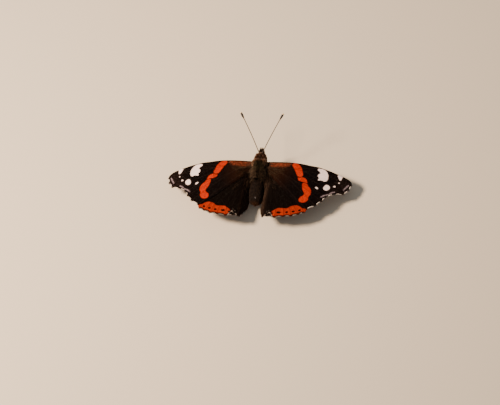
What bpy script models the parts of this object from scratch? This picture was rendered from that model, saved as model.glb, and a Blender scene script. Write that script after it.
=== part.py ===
"""A red admiral butterfly that rests on the ground with its wings spread, at life size.

Sizes are in millimetres, and MM turns them into metres. X runs out along the right wing, Y to
the head and Z up. The wings lie on the wing plane, a few degrees nose up from the floor. The
body lies on the body axis, which tips up further. The left side is the mirror of the right.
"""
import math

import bmesh
import bpy
from mathutils import Matrix, Vector, geometry

MM = 0.001
GAP = 0.3
TUBE_SIDES = 2

WING_HEIGHT = 7.0
WING_PITCH = math.radians(3.0)
BODY_PITCH = math.radians(13.0)
BODY_CENTRE = (0.0, -1.6, 0.7)

THORAX_CENTRE = (0.0, -0.55, 0.0)
THORAX_RADII = (2.7, 3.8, 2.45)
THORAX_FULLNESS = 3.2
THORAX_SIDES = (26, 18)
SHOULDER = (2.1, 2.1, 1.0)
SHOULDER_LUMP = 0.42
SHOULDER_SPREAD = 1.6
HUMP = 0.09
HUMP_AT = 0.6
HUMP_SPREAD = 5.0
HEAD_CENTRE = (0.0, 4.0, 0.35)
HEAD_RADII = (1.55, 1.25, 1.4)
HEAD_FULLNESS = 2.3
HEAD_SIDES = (22, 14)
EYE_CENTRE = (1.2, 4.1, 0.35)
EYE_RADII = (0.9, 1.12, 1.3)
EYE_SIDES = (18, 12)
EYE_INNER_FLAT = 0.4
EYE_EDGE_ANGLE = math.radians(1)
ABDOMEN_START = -3.7
ABDOMEN_END = -14.15
ABDOMEN_WIDTH = 2.72
ABDOMEN_HEIGHT = 2.3
ABDOMEN_SIDES = 20
ABDOMEN_SEGMENTS = 8
RINGS_A_SEGMENT = 3
ABDOMEN_STEP = 0.05
ABDOMEN_DROOP = 0.6
# Places along the abdomen, from its front at 0 to its end at 1, and shares of its width
WIDEST_AT = 0.5
BLUNT_FROM = 0.8
ROUND_FRONT = 0.06
WAIST = 0.62
TAIL_TAPER = 0.14
ROUNDNESS = 2.2
POLE = 1e-4
WELD = 0.001
FLAT_WELD = 0.01

ANTENNA_START = (0.32, 4.62, 1.02)
ANTENNA_LENGTH = 16.7
ANTENNA_STEPS = 16
ANTENNA_SPREAD = math.radians(28.5)
ANTENNA_RISE = math.radians(18.5)
ANTENNA_BOW = 0.2
ANTENNA_RADIUS = 0.26
CLUB_RADIUS = 0.5
CLUB_START = 0.84
CLUB_ARC = 2.4

MEMBRANE = 0.5
VEIN_THICKNESS = 0.8
VEIN_FOOT = 0.5
VEIN_CLEAR = 0.95
EDGE_CLEAR = 0.6
VEIN_SPACING = 2.4
SHEET_WELD = 0.02
WING_CROWN = 1.5
WING_CROWN_AT = 9.0
WING_ARCH = 0.0066
HINDWING_DROP = 1.15
FOLD_DROP = 1.5
FOLD_EDGE = 2.6
FOLD_WIDTH = 3.2
FOLD_START = -4.0
FOLD_FULL = -9.0

# The fore edge of the forewing, from inside the thorax to the wing tip
FORE_COSTA = [(1.6, 0.6), (7.0, 0.65), (13.0, 0.55), (18.0, 0.05), (22.5, -0.5), (27.0, -1.7),
              (31.4, -3.05), (33.2, -4.1)]
FORE_INNER = [(19.9, -18.3), (13.9, -14.0), (7.8, -8.2), (1.8, -2.6)]
FORE_VEINS = {
    "radius": [(1.8, -0.5), (9.0, -1.5), (16.3, -2.6), (22.0, -3.0), (27.5, -4.0), (34.1, -5.5)],
    "radius_5": [(27.5, -4.0), (31.0, -6.0), (33.4, -7.9)],
    "median_1": [(16.3, -2.6), (22.0, -5.2), (27.2, -8.1), (31.7, -10.1)],
    "median_2": [(16.6, -4.6), (22.0, -7.0), (28.6, -10.8)],
    "median_3": [(15.6, -7.6), (20.5, -9.3), (26.0, -12.2)],
    "cubitus_1": [(13.2, -6.4), (19.0, -10.4), (24.9, -14.3)],
    "cubitus_2": [(9.4, -4.2), (16.3, -10.5), (22.9, -16.5)],
    "anal": [(1.8, -1.8), (8.0, -6.9), (14.2, -12.8), (19.9, -18.3)],
    "subcosta": [(2.2, 0.1), (10.0, -0.35), (16.8, -0.55)],
    "radius_1": [(12.6, -2.0), (17.5, -1.35), (21.6, -1.05)],
    "radius_2": [(16.3, -2.6), (21.5, -1.95), (26.0, -2.15)],
    "radius_3": [(22.0, -3.0), (27.0, -2.9), (31.0, -3.75)],
    "cell_foot": [(1.8, -1.1), (8.0, -3.6), (13.2, -6.4), (15.6, -7.6)],
    "cell_end": [(16.3, -2.6), (16.6, -4.6), (15.6, -7.6)],
}
FORE_MARGIN = ["radius", "radius_5", "median_1", "median_2", "median_3", "cubitus_1",
               "cubitus_2", "anal"]
FORE_SCALLOP = 0.3

HIND_COSTA = [(1.4, -2.3), (7.0, -3.0), (12.5, -6.0), (17.2, -10.6), (19.9, -14.9), (20.2, -17.2)]
HIND_INNER = [(4.3, -22.9), (3.5, -20.2), (2.9, -17.8), (2.5, -15.2), (2.7, -12.6), (2.9, -10.2),
              (2.8, -8.0), (1.5, -4.9)]
HIND_VEINS = {
    "sector": [(1.7, -3.0), (6.0, -5.2), (12.0, -10.5), (16.8, -15.4), (19.5, -19.1)],
    "median_1": [(6.0, -5.2), (8.7, -9.0), (13.3, -14.6), (17.6, -20.1)],
    "median_2": [(8.7, -9.0), (9.8, -10.8), (13.0, -16.0), (15.4, -21.2)],
    "median_3": [(8.7, -12.0), (11.2, -16.8), (12.8, -21.7)],
    "cubitus_1": [(7.4, -10.7), (9.0, -16.5), (9.1, -22.6)],
    "cubitus_2": [(5.6, -8.3), (6.7, -15.0), (6.1, -22.3)],
    "anal": [(1.8, -4.5), (3.7, -9.0), (4.5, -16.0), (4.3, -22.9)],
    "subcosta": [(2.0, -2.75), (7.2, -3.9), (12.4, -7.1), (16.6, -11.5), (19.2, -16.2)],
    "cell_foot": [(1.7, -3.9), (4.2, -6.6), (7.4, -10.7), (8.7, -12.0)],
    "cell_end": [(9.8, -10.8), (8.7, -12.0)],
}
HIND_MARGIN = ["sector", "median_1", "median_2", "median_3", "cubitus_1", "cubitus_2", "anal"]
HIND_SCALLOP = 0.45

# Hips are on the body axis, and what follows them is on the floor's frame
LEG_RADII = {"hip": 0.34, "thigh": 0.42, "knee": 0.32, "shin": 0.3, "ankle": 0.28, "foot": 0.3,
             "toe": 0.22}
THIGH_AT = 0.45
KNEE_BENDS = (0.93, 0.08)
HEEL_AT = 0.12
TOE_BEND = 0.92
ANKLE_LIFT = 0.35
FOOT_HEIGHT = 0.19
MID_HIP = (1.2, 0.0, -1.9)
MID_KNEE = (5.6, 0.7, 6.0)
MID_ANKLE = (7.6, 1.8)
MID_TOE = (10.2, 4.3)
HIND_HIP = (1.1, -2.2, -1.8)
HIND_KNEE = (5.0, -6.0, 5.6)
HIND_ANKLE = (6.8, -8.8)
HIND_TOE = (8.2, -13.0)
FORELEG = [(0.9, 1.4, -1.6), (1.15, 2.2, -2.6), (1.15, 3.4, -2.9), (0.95, 4.6, -2.7),
           (0.85, 5.4, -2.3)]
FORELEG_RADII = [0.3, 0.36, 0.36, 0.32, 0.2]

PALP = [(0.6, 4.4, -0.5), (0.62, 5.3, -0.45), (0.6, 6.2, -0.1), (0.48, 7.15, 0.5)]
PALP_RADII = [0.42, 0.47, 0.42, 0.22]
COIL_ROOT = (0.0, 3.95, -0.95)
COIL_CENTRE = (4.7, -2.3)
COIL_RADIUS = 0.9
COIL_PITCH = 0.82
COIL_FROM = math.radians(100)
COIL_STEPS = 16
COIL_TUBE = 0.25

OUTLINE_SPACING = 2.2
SCALLOP_SPACING = 0.9
EYE_ROUGHNESS = 0.3
COAT_ROUGHNESS = 0.8
SHARP_ANGLE = math.radians(40)

COLOURS = {
    "thorax": (0.12, 0.075, 0.03),
    "abdomen": (0.035, 0.022, 0.014),
    "head": (0.13, 0.06, 0.025),
    "eye": (0.16, 0.055, 0.025),
    "antenna": (0.08, 0.05, 0.035),
    "palp": (0.3, 0.22, 0.14),
    "proboscis": (0.05, 0.03, 0.015),
    "forewing": (0.03, 0.018, 0.012),
    "hindwing": (0.05, 0.03, 0.018),
    "foreleg": (0.12, 0.08, 0.05),
    "midleg": (0.14, 0.1, 0.06),
    "hindleg": (0.14, 0.1, 0.06),
}


def clear_scene():
    for thing in list(bpy.data.objects):
        bpy.data.objects.remove(thing)


def make_collections():
    parts = bpy.data.collections.new("red_admiral")
    cutters = bpy.data.collections.new("cutters")
    bpy.context.scene.collection.children.link(parts)
    bpy.context.scene.collection.children.link(cutters)
    return parts, cutters


def make_frames(parts):
    """The stance on the floor, the wing plane above it and the body axis on the wing plane."""
    stance = bpy.data.objects.new("stance", None)
    wing_plane = bpy.data.objects.new("wing_plane", None)
    body_axis = bpy.data.objects.new("body_axis", None)
    wing_plane.parent = stance
    wing_plane.location = (0.0, 0.0, WING_HEIGHT * MM)
    wing_plane.rotation_euler = (WING_PITCH, 0.0, 0.0)
    body_axis.parent = wing_plane
    body_axis.location = Vector(BODY_CENTRE) * MM
    body_axis.rotation_euler = (BODY_PITCH, 0.0, 0.0)
    for frame in (stance, wing_plane, body_axis):
        parts.objects.link(frame)
    bpy.context.view_layer.update()
    return stance, wing_plane, body_axis


def material_for(kind):
    found = bpy.data.materials.get(kind)
    if found:
        return found
    finish = bpy.data.materials.new(kind)
    finish.use_nodes = True
    shader = finish.node_tree.nodes["Principled BSDF"]
    shader.inputs["Base Color"].default_value = (*COLOURS[kind], 1.0)
    shader.inputs["Roughness"].default_value = EYE_ROUGHNESS if kind == "eye" else COAT_ROUGHNESS
    shader.inputs["Metallic"].default_value = 0.0
    return finish


def put(name, mesh, frame, collection):
    """An object for a mesh in millimetres, on its frame, with the material of its kind."""
    mesh.transform(Matrix.Scale(MM, 4))
    mesh.shade_smooth()
    mesh.set_sharp_from_angle(angle=SHARP_ANGLE)
    mesh.materials.append(material_for(name.split("_")[0]))
    part = bpy.data.objects.new(name, mesh)
    part.parent = frame
    collection.objects.link(part)
    return part


def mirrored(mesh):
    """A copy of a mesh for the other side of the body."""
    twin = mesh.copy()
    twin.transform(Matrix.Scale(-1.0, 4, (1.0, 0.0, 0.0)))
    twin.flip_normals()
    return twin


def put_pair(name, mesh, frame, collection):
    left = put(name + "_left", mirrored(mesh), frame, collection)
    right = put(name + "_right", mesh, frame, collection)
    return left, right


def smooth_line(knots, spacing):
    """Points about as far apart as the spacing on a smooth curve through the knots."""
    ends = [2 * Vector(knots[0]) - Vector(knots[1])]
    ends += [Vector(knot) for knot in knots]
    ends += [2 * Vector(knots[-1]) - Vector(knots[-2])]
    line = [ends[1]]
    for before, start, stop, after in zip(ends, ends[1:], ends[2:], ends[3:]):
        steps = max(1, round((stop - start).length / spacing))
        for step in range(1, steps + 1):
            t = step / steps
            bend = (2 * before - 5 * start + 4 * stop - after) * t * t
            turn = (3 * start - before - 3 * stop + after) * t ** 3
            line.append(0.5 * (2 * start + (stop - before) * t + bend + turn))
    return line


def ball(radii, sides, fullness=2.0):
    """A round body in millimetres with its poles to the front and back."""
    around, along = sides
    mesh = bpy.data.meshes.new("ball")
    shape = bmesh.new()
    bmesh.ops.create_uvsphere(shape, u_segments=around, v_segments=along, radius=1.0)
    bmesh.ops.rotate(shape, verts=shape.verts, matrix=Matrix.Rotation(-math.pi / 2, 3, "X"))
    for vert in shape.verts:
        reach = min(1.0, abs(vert.co.y))
        ring = math.sqrt(max(0.0, 1.0 - reach * reach))
        wide = (1.0 - reach ** fullness) ** (1.0 / fullness)
        widen = wide / ring if ring > POLE else 0.0
        vert.co.x *= widen * radii[0]
        vert.co.y *= radii[1]
        vert.co.z *= widen * radii[2]
    shape.to_mesh(mesh)
    shape.free()
    return mesh


def moved(mesh, place):
    mesh.transform(Matrix.Translation(place))
    return mesh


def thorax_mesh():
    """A barrel with a raised back and a small lump over the root of each forewing."""
    mesh = moved(ball(THORAX_RADII, THORAX_SIDES, THORAX_FULLNESS), THORAX_CENTRE)
    for vert in mesh.vertices:
        aside = Vector((abs(vert.co.x), vert.co.y, vert.co.z)) - Vector(SHOULDER)
        lump = SHOULDER_LUMP * math.exp(-aside.length_squared / SHOULDER_SPREAD)
        hump = HUMP * math.exp(-((vert.co.y - HUMP_AT) ** 2) / HUMP_SPREAD)
        vert.co.z += lump + hump * max(0.0, vert.co.z)
        vert.co.x += math.copysign(lump, vert.co.x)
    return mesh


def abdomen_mesh():
    """Rings that step in at each joint, widest before the middle, with a blunt end."""
    mesh = ball((1.0, 1.0, 1.0), (ABDOMEN_SIDES, ABDOMEN_SEGMENTS * RINGS_A_SEGMENT))
    length = ABDOMEN_START - ABDOMEN_END
    for vert in mesh.vertices:
        turn = math.acos(max(-1.0, min(1.0, vert.co.y))) / math.pi
        ring = math.hypot(vert.co.x, vert.co.z)
        into_segment = (turn * ABDOMEN_SEGMENTS) % 1.0
        step = 1.0 - ABDOMEN_STEP * (1.0 - into_segment)
        grow = abdomen_swell(turn) * step / ring if ring > POLE else 0.0
        vert.co.x *= grow * ABDOMEN_WIDTH
        vert.co.z *= grow * ABDOMEN_HEIGHT
        vert.co.z -= ABDOMEN_DROOP * turn * turn
        vert.co.y = ABDOMEN_START - length * turn
    return mesh


def abdomen_swell(turn):
    """How wide the abdomen is, as a share of its widest, from its front at 0 to its end at 1."""
    behind = max(0.0, (turn - WIDEST_AT) / (1.0 - WIDEST_AT))
    to_end = max(0.0, (turn - BLUNT_FROM) / (1.0 - BLUNT_FROM))
    front = WAIST + (1.0 - WAIST) * math.sin(min(1.0, turn / WIDEST_AT) * math.pi / 2)
    taper = 1.0 - TAIL_TAPER * behind ** ROUNDNESS
    round_end = math.sqrt(max(0.0, 1.0 - to_end ** ROUNDNESS))
    round_front = math.sqrt(min(1.0, turn / ROUND_FRONT))
    return front * taper * round_end * round_front


def eye_mesh():
    """A dome with its inner side cut flat, where it sits against the head."""
    mesh = ball(EYE_RADII, EYE_SIDES)
    for vert in mesh.vertices:
        vert.co.x = max(-EYE_INNER_FLAT, vert.co.x)
    shape = bmesh.new()
    shape.from_mesh(mesh)
    bmesh.ops.remove_doubles(shape, verts=shape.verts, dist=FLAT_WELD)
    bmesh.ops.dissolve_limit(shape, angle_limit=EYE_EDGE_ANGLE, verts=shape.verts, edges=shape.edges)
    bmesh.ops.triangulate(shape, faces=shape.faces)
    shape.to_mesh(mesh)
    shape.free()
    return moved(mesh, EYE_CENTRE)


def tube_mesh(points, radii):
    """A round tube in millimetres along the points, as one closed skin."""
    curve = bpy.data.curves.new("tube", "CURVE")
    curve.dimensions = "3D"
    curve.bevel_depth = 1.0
    curve.bevel_resolution = TUBE_SIDES
    curve.use_fill_caps = True
    spline = curve.splines.new("POLY")
    spline.points.add(len(points) - 1)
    for knot, place, radius in zip(spline.points, points, radii):
        knot.co = (*place, 1.0)
        knot.radius = radius
    holder = bpy.data.objects.new("tube", curve)
    bpy.context.scene.collection.objects.link(holder)
    view = bpy.context.evaluated_depsgraph_get()
    mesh = bpy.data.meshes.new_from_object(holder.evaluated_get(view))
    bpy.data.objects.remove(holder)
    shape = bmesh.new()
    shape.from_mesh(mesh)
    bmesh.ops.remove_doubles(shape, verts=shape.verts, dist=WELD)
    bmesh.ops.recalc_face_normals(shape, faces=shape.faces)
    shape.to_mesh(mesh)
    shape.free()
    return mesh


def antenna_mesh():
    """A thin shaft that bows in a little and ends in a club."""
    start = Vector(ANTENNA_START)
    flat = math.cos(ANTENNA_RISE)
    way = Vector((flat * math.sin(ANTENNA_SPREAD), flat * math.cos(ANTENNA_SPREAD),
                  math.sin(ANTENNA_RISE)))
    outward = Vector((math.cos(ANTENNA_SPREAD), -math.sin(ANTENNA_SPREAD), 0.0))
    points = []
    radii = []
    for step in range(ANTENNA_STEPS + 1):
        t = step / ANTENNA_STEPS
        bow = ANTENNA_BOW * math.sin(math.pi * t)
        points.append(start + way * ANTENNA_LENGTH * t - outward * bow)
        club = max(0.0, (t - CLUB_START) / (1.0 - CLUB_START))
        radii.append(ANTENNA_RADIUS + (CLUB_RADIUS - ANTENNA_RADIUS) * math.sin(club * CLUB_ARC))
    return tube_mesh(points, radii)


def proboscis_mesh():
    """The drinking tube, rolled up under the head like a watch spring."""
    points = [Vector(COIL_ROOT)]
    for step in range(COIL_STEPS + 1):
        turn = step / COIL_STEPS
        radius = COIL_RADIUS - COIL_PITCH * turn
        angle = COIL_FROM - turn * 2 * math.pi
        points.append(Vector((0.0, COIL_CENTRE[0] + radius * math.cos(angle),
                              COIL_CENTRE[1] + radius * math.sin(angle))))
    return tube_mesh(points, [COIL_TUBE] * len(points))


def leg_mesh(hip, knee, ankle, toe):
    """A thigh up to the knee, a shin down to the floor and a foot that lies on it."""
    ankle = Vector((*ankle, FOOT_HEIGHT + ANKLE_LIFT))
    toe = Vector((*toe, FOOT_HEIGHT))
    heel = ankle.lerp(toe, HEEL_AT)
    heel.z = FOOT_HEIGHT
    before, after = KNEE_BENDS
    points = [hip, hip.lerp(knee, THIGH_AT), hip.lerp(knee, before), knee.lerp(ankle, after),
              knee.lerp(ankle, 0.5), ankle, heel, heel.lerp(toe, 0.5), heel.lerp(toe, TOE_BEND), toe]
    names = ["hip", "thigh", "knee", "knee", "shin", "ankle", "foot", "foot", "foot", "toe"]
    mesh = tube_mesh(points, [LEG_RADII[name] for name in names])
    for vert in mesh.vertices:
        vert.co.z = max(0.0, vert.co.z)
    return mesh


def scallops(ends, depth):
    """The outer edge of a wing from vein end to vein end, hollow between them."""
    edge = []
    for start, stop in zip(ends, ends[1:]):
        start = Vector(start)
        chord = Vector(stop) - start
        inward = Vector((chord.y, -chord.x)).normalized()
        steps = max(3, round(chord.length / SCALLOP_SPACING))
        for step in range(steps):
            t = step / steps
            edge.append(start + chord * t + inward * depth * math.sin(math.pi * t))
    return edge


def wing_outline(costa, veins, margin, inner, depth):
    ends = [veins[name][-1] for name in margin]
    outline = smooth_line([*costa, ends[0]], OUTLINE_SPACING)[:-1]
    outline += scallops(ends, depth)
    outline += smooth_line(inner, OUTLINE_SPACING)
    return outline


def nearest_vein(place, lines):
    """The distance from a place to the nearest vein, in millimetres."""
    best = 99.0
    for line in lines:
        for start, stop in zip(line, line[1:]):
            foot, share = geometry.intersect_point_line(place, start, stop)
            foot = start.lerp(stop, max(0.0, min(1.0, share)))
            best = min(best, (foot - place).length)
    return best


def vein_feet(line, side, lines):
    """The foot of a vein on one side, without the points that fall on another vein."""
    feet = []
    for index in range(1, len(line) - 1):
        way = (line[index + 1] - line[index - 1]).normalized()
        place = line[index] + Vector((-way.y, way.x)) * side * VEIN_FOOT
        if nearest_vein(place, lines) > VEIN_FOOT * VEIN_CLEAR:
            feet.append(place)
        else:
            feet.append(None)
    return feet


def inside(place, outline, clear):
    """Whether a place is within the outline and at least the clear distance from its edge."""
    crossings = 0
    for start, stop in zip(outline, outline[1:] + outline[:1]):
        if (start.y > place.y) != (stop.y > place.y):
            cut = start.x + (place.y - start.y) / (stop.y - start.y) * (stop.x - start.x)
            crossings += cut > place.x
    near = nearest_vein(place, [outline + outline[:1]])
    return crossings % 2 == 1 and near > clear


def wing_mesh(outline, veins, fore_edge, height):
    """A flat sheet of triangles with its veins as rows of edges, lifted to the wing's arch."""
    fore_edge = smooth_line(fore_edge, VEIN_SPACING)
    lines = [smooth_line(knots, VEIN_SPACING) for knots in veins.values()]
    places = list(outline)
    edges = [(index, (index + 1) % len(outline)) for index in range(len(outline))]
    for line in lines:
        first = len(places)
        places += line
        edges += [(first + index, first + index + 1) for index in range(len(line) - 1)]
        for side in (-1, 1):
            previous = None
            for foot in vein_feet(line, side, lines):
                if foot is None or not inside(foot, outline, VEIN_FOOT * EDGE_CLEAR):
                    previous = None
                    continue
                places.append(foot)
                if previous is not None:
                    edges.append((previous, len(places) - 1))
                previous = len(places) - 1
    flat = geometry.delaunay_2d_cdt(places, edges, [], 1, SHEET_WELD)
    mesh = bpy.data.meshes.new("wing")
    mesh.from_pydata([(place.x, place.y, height(place)) for place in flat[0]], [], flat[2])
    ribs = [*lines, fore_edge]
    shares = [1.0 - min(1.0, nearest_vein(place, ribs) / VEIN_FOOT) for place in flat[0]]
    return mesh, shares


def fore_height(place):
    return WING_CROWN - WING_ARCH * (place.x - WING_CROWN_AT) ** 2


def hind_height(place):
    """The hindwing lies under the forewing, and its inner edge folds down beside the abdomen."""
    along = max(0.0, min(1.0, (place.y - FOLD_START) / (FOLD_FULL - FOLD_START)))
    fold = max(0.0, 1.0 - (place.x - FOLD_EDGE) / FOLD_WIDTH)
    return fore_height(place) - HINDWING_DROP - FOLD_DROP * along * fold * fold


def thicken(wing, shares):
    """Give the sheet its thickness, more along the veins than on the membrane between them."""
    veins = wing.vertex_groups.new(name="veins")
    for index, share in enumerate(shares):
        veins.add([index], share, "REPLACE")
    body = wing.modifiers.new("thickness", "SOLIDIFY")
    body.thickness = VEIN_THICKNESS * MM
    body.offset = 0.0
    body.vertex_group = "veins"
    body.thickness_vertex_group = MEMBRANE / VEIN_THICKNESS


def grown_cutter(part, cutters):
    """A copy of a part, larger by the gap all round, that cuts the room its neighbours leave."""
    mesh = part.data.copy()
    for vert, normal in zip(mesh.vertices, [vert.normal.copy() for vert in part.data.vertices]):
        vert.co += normal * GAP * MM
    cutter = bpy.data.objects.new(part.name + "_cutter", mesh)
    cutter.parent = part.parent
    cutter.hide_render = True
    cutter.display_type = "WIRE"
    cutters.objects.link(cutter)
    return cutter


def cut(part, *cutters):
    for cutter in cutters:
        room = part.modifiers.new(cutter.name, "BOOLEAN")
        room.operation = "DIFFERENCE"
        room.solver = "EXACT"
        room.object = cutter


def build_body(parts, cutters, body_axis):
    """Thorax, abdomen, head, eyes, antennae, palps and proboscis, each cut to meet the next."""
    thorax = put("thorax", thorax_mesh(), body_axis, parts)
    abdomen = put("abdomen", abdomen_mesh(), body_axis, parts)
    head = put("head", moved(ball(HEAD_RADII, HEAD_SIDES, HEAD_FULLNESS), HEAD_CENTRE), body_axis, parts)
    eyes = put_pair("eye", eye_mesh(), body_axis, parts)
    antennae = put_pair("antenna", antenna_mesh(), body_axis, parts)
    palps = put_pair("palp", tube_mesh([Vector(knot) for knot in PALP], PALP_RADII), body_axis, parts)
    proboscis = put("proboscis", proboscis_mesh(), body_axis, parts)
    around_thorax = grown_cutter(thorax, cutters)
    around_head = grown_cutter(head, cutters)
    around_eyes = [grown_cutter(eye, cutters) for eye in eyes]
    cut(abdomen, around_thorax)
    cut(head, around_thorax, *around_eyes)
    for antenna in antennae:
        cut(antenna, around_head)
    for eye in eyes:
        cut(eye, around_thorax)
    for palp, around_eye in zip(palps, around_eyes):
        cut(palp, around_head, around_eye)
    cut(proboscis, around_head)
    return around_thorax, grown_cutter(abdomen, cutters)


def build_wings(parts, wing_plane, around_thorax, around_abdomen):
    fore_line = wing_outline(FORE_COSTA, FORE_VEINS, FORE_MARGIN, FORE_INNER, FORE_SCALLOP)
    mesh, shares = wing_mesh(fore_line, FORE_VEINS, FORE_COSTA, fore_height)
    for wing in put_pair("forewing", mesh, wing_plane, parts):
        thicken(wing, shares)
        cut(wing, around_thorax)
    hind_line = wing_outline(HIND_COSTA, HIND_VEINS, HIND_MARGIN, HIND_INNER, HIND_SCALLOP)
    mesh, shares = wing_mesh(hind_line, HIND_VEINS, HIND_COSTA, hind_height)
    for wing in put_pair("hindwing", mesh, wing_plane, parts):
        thicken(wing, shares)
        cut(wing, around_thorax, around_abdomen)


def build_legs(parts, stance, body_axis, around_thorax):
    hip_frame = stance.matrix_world.inverted() @ body_axis.matrix_world
    legs = {"midleg": (MID_HIP, MID_KNEE, MID_ANKLE, MID_TOE),
            "hindleg": (HIND_HIP, HIND_KNEE, HIND_ANKLE, HIND_TOE)}
    for name, (hip, knee, ankle, toe) in legs.items():
        start = hip_frame @ (Vector(hip) * MM) / MM
        for leg in put_pair(name, leg_mesh(start, Vector(knee), ankle, toe), stance, parts):
            cut(leg, around_thorax)
    brush = tube_mesh([Vector(knot) for knot in FORELEG], FORELEG_RADII)
    for leg in put_pair("foreleg", brush, body_axis, parts):
        cut(leg, around_thorax)


def centre_on_origin(parts, stance):
    """Move the whole animal so that the middle of its box, seen from above, is the origin."""
    bpy.context.view_layer.update()
    view = bpy.context.evaluated_depsgraph_get()
    spread = []
    for part in parts.objects:
        if part.type == "MESH":
            solid = part.evaluated_get(view)
            spread += [(part.matrix_world @ vert.co).y for vert in solid.data.vertices]
    stance.location.y -= (min(spread) + max(spread)) / 2


def build():
    clear_scene()
    parts, cutters = make_collections()
    stance, wing_plane, body_axis = make_frames(parts)
    around_thorax, around_abdomen = build_body(parts, cutters, body_axis)
    build_wings(parts, wing_plane, around_thorax, around_abdomen)
    build_legs(parts, stance, body_axis, around_thorax)
    centre_on_origin(parts, stance)


build()
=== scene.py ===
# %% [markdown]
# # A red admiral at rest
# This lesson dresses the solids of a butterfly until they look like the living animal. The wings
# are sheets thinner than paper, covered in scales and stiffened by veins. The body is soft with
# hair. Every size is in millimetres, and MM turns it into Blender's metres.

import math

import bmesh
import bpy
import numpy as np
from mathutils import Matrix, Vector, geometry


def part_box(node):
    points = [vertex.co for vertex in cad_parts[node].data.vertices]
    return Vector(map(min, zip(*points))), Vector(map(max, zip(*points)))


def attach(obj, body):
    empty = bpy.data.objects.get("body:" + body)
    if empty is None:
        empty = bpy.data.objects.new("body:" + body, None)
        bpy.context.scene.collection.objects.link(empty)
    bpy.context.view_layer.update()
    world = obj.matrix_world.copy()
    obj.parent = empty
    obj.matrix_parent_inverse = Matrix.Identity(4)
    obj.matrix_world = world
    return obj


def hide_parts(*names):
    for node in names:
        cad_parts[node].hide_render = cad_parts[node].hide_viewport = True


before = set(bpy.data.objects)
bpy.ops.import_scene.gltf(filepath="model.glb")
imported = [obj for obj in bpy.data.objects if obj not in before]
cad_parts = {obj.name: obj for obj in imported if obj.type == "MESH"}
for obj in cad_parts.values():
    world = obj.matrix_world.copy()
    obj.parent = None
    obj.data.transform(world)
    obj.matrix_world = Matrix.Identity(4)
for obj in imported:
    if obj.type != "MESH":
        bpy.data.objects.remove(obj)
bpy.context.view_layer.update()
MM = 0.001
print("solids loaded:", len(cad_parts))

# %% [markdown]
# ## Where the wings and the body lie
# The wings spread on a plane that tips up a few degrees from the floor. The body tips further,
# because the front legs of a resting butterfly hold the chest high. Two matrices carry these
# slopes, so a wing or a hair is made flat and simple first and put in its place last. The solids'
# own box tells how far the animal was moved to stand over the middle of its outline.

# %% Two frames of reference
WING_HEIGHT = 7.0
WING_PITCH = math.radians(3.0)
BODY_PITCH = math.radians(13.0)
BODY_CENTRE = Vector((0.0, -1.6, 0.7))
HIND_CORNER = -22.9

hind_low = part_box("hindwing_right")[0]
fore_aft = hind_low.y / MM - HIND_CORNER * math.cos(WING_PITCH)
WINGS = Matrix.Translation((0.0, fore_aft, WING_HEIGHT)) @ Matrix.Rotation(WING_PITCH, 4, "X")
BODY = WINGS @ Matrix.Translation(BODY_CENTRE) @ Matrix.Rotation(BODY_PITCH, 4, "X")
STANCE = Matrix.Translation((0.0, fore_aft, 0.0))
print("moved forward by", round(fore_aft, 3), "mm")

# %% [markdown]
# ## The camera
# The picture looks down on the animal from behind its right side, through a long lens. A long
# lens far away keeps both wings at the same scale. The direction was found by asking which view
# makes the left and right wing tips, spots and bands equally long. The camera also rolls a
# little, which stands for the way the animal in the photo leans towards the sun.

# %% Aim the camera
PIXELS_PER_MM = 2.8
PICTURE = (500, 405)
WING_PLANE_IN_PICTURE = (260.9, 165.0)
CAMERA_DISTANCE = 1500.0
SENSOR = 36.0

look_right = WINGS.to_3x3() @ Vector((0.9656, 0.1713, -0.1956)).normalized()
look_up = WINGS.to_3x3() @ Vector((-0.0404, 0.842, 0.5379)).normalized()
look_back = look_right.cross(look_up).normalized()
look_up = look_back.cross(look_right)

off_right = (WING_PLANE_IN_PICTURE[0] - PICTURE[0] / 2) / PIXELS_PER_MM
off_down = (WING_PLANE_IN_PICTURE[1] - PICTURE[1] / 2) / PIXELS_PER_MM
aim = WINGS.translation - look_right * off_right + look_up * off_down

lens = bpy.data.cameras.new("camera")
camera = bpy.data.objects.new("camera", lens)
bpy.context.scene.collection.objects.link(camera)
turn = Matrix((look_right, look_up, look_back)).transposed().to_4x4()
camera.matrix_world = Matrix.Translation((aim + look_back * CAMERA_DISTANCE) * MM) @ turn
lens.sensor_width = SENSOR
lens.lens = SENSOR * CAMERA_DISTANCE * PIXELS_PER_MM / PICTURE[0]
lens.clip_start = 0.1
lens.clip_end = 10.0
bpy.context.scene.camera = camera
print("camera above the floor:", round(camera.matrix_world.translation.z, 2), "m")

# %% [markdown]
# ## Shader arithmetic
# A pattern is easier to read as arithmetic than as a list of nodes. The class below wraps one
# socket of a node tree, and each operator adds the Math node that does the sum. A second class
# holds a material and makes every other node through one method.

# %% A socket that can be added and multiplied


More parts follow.
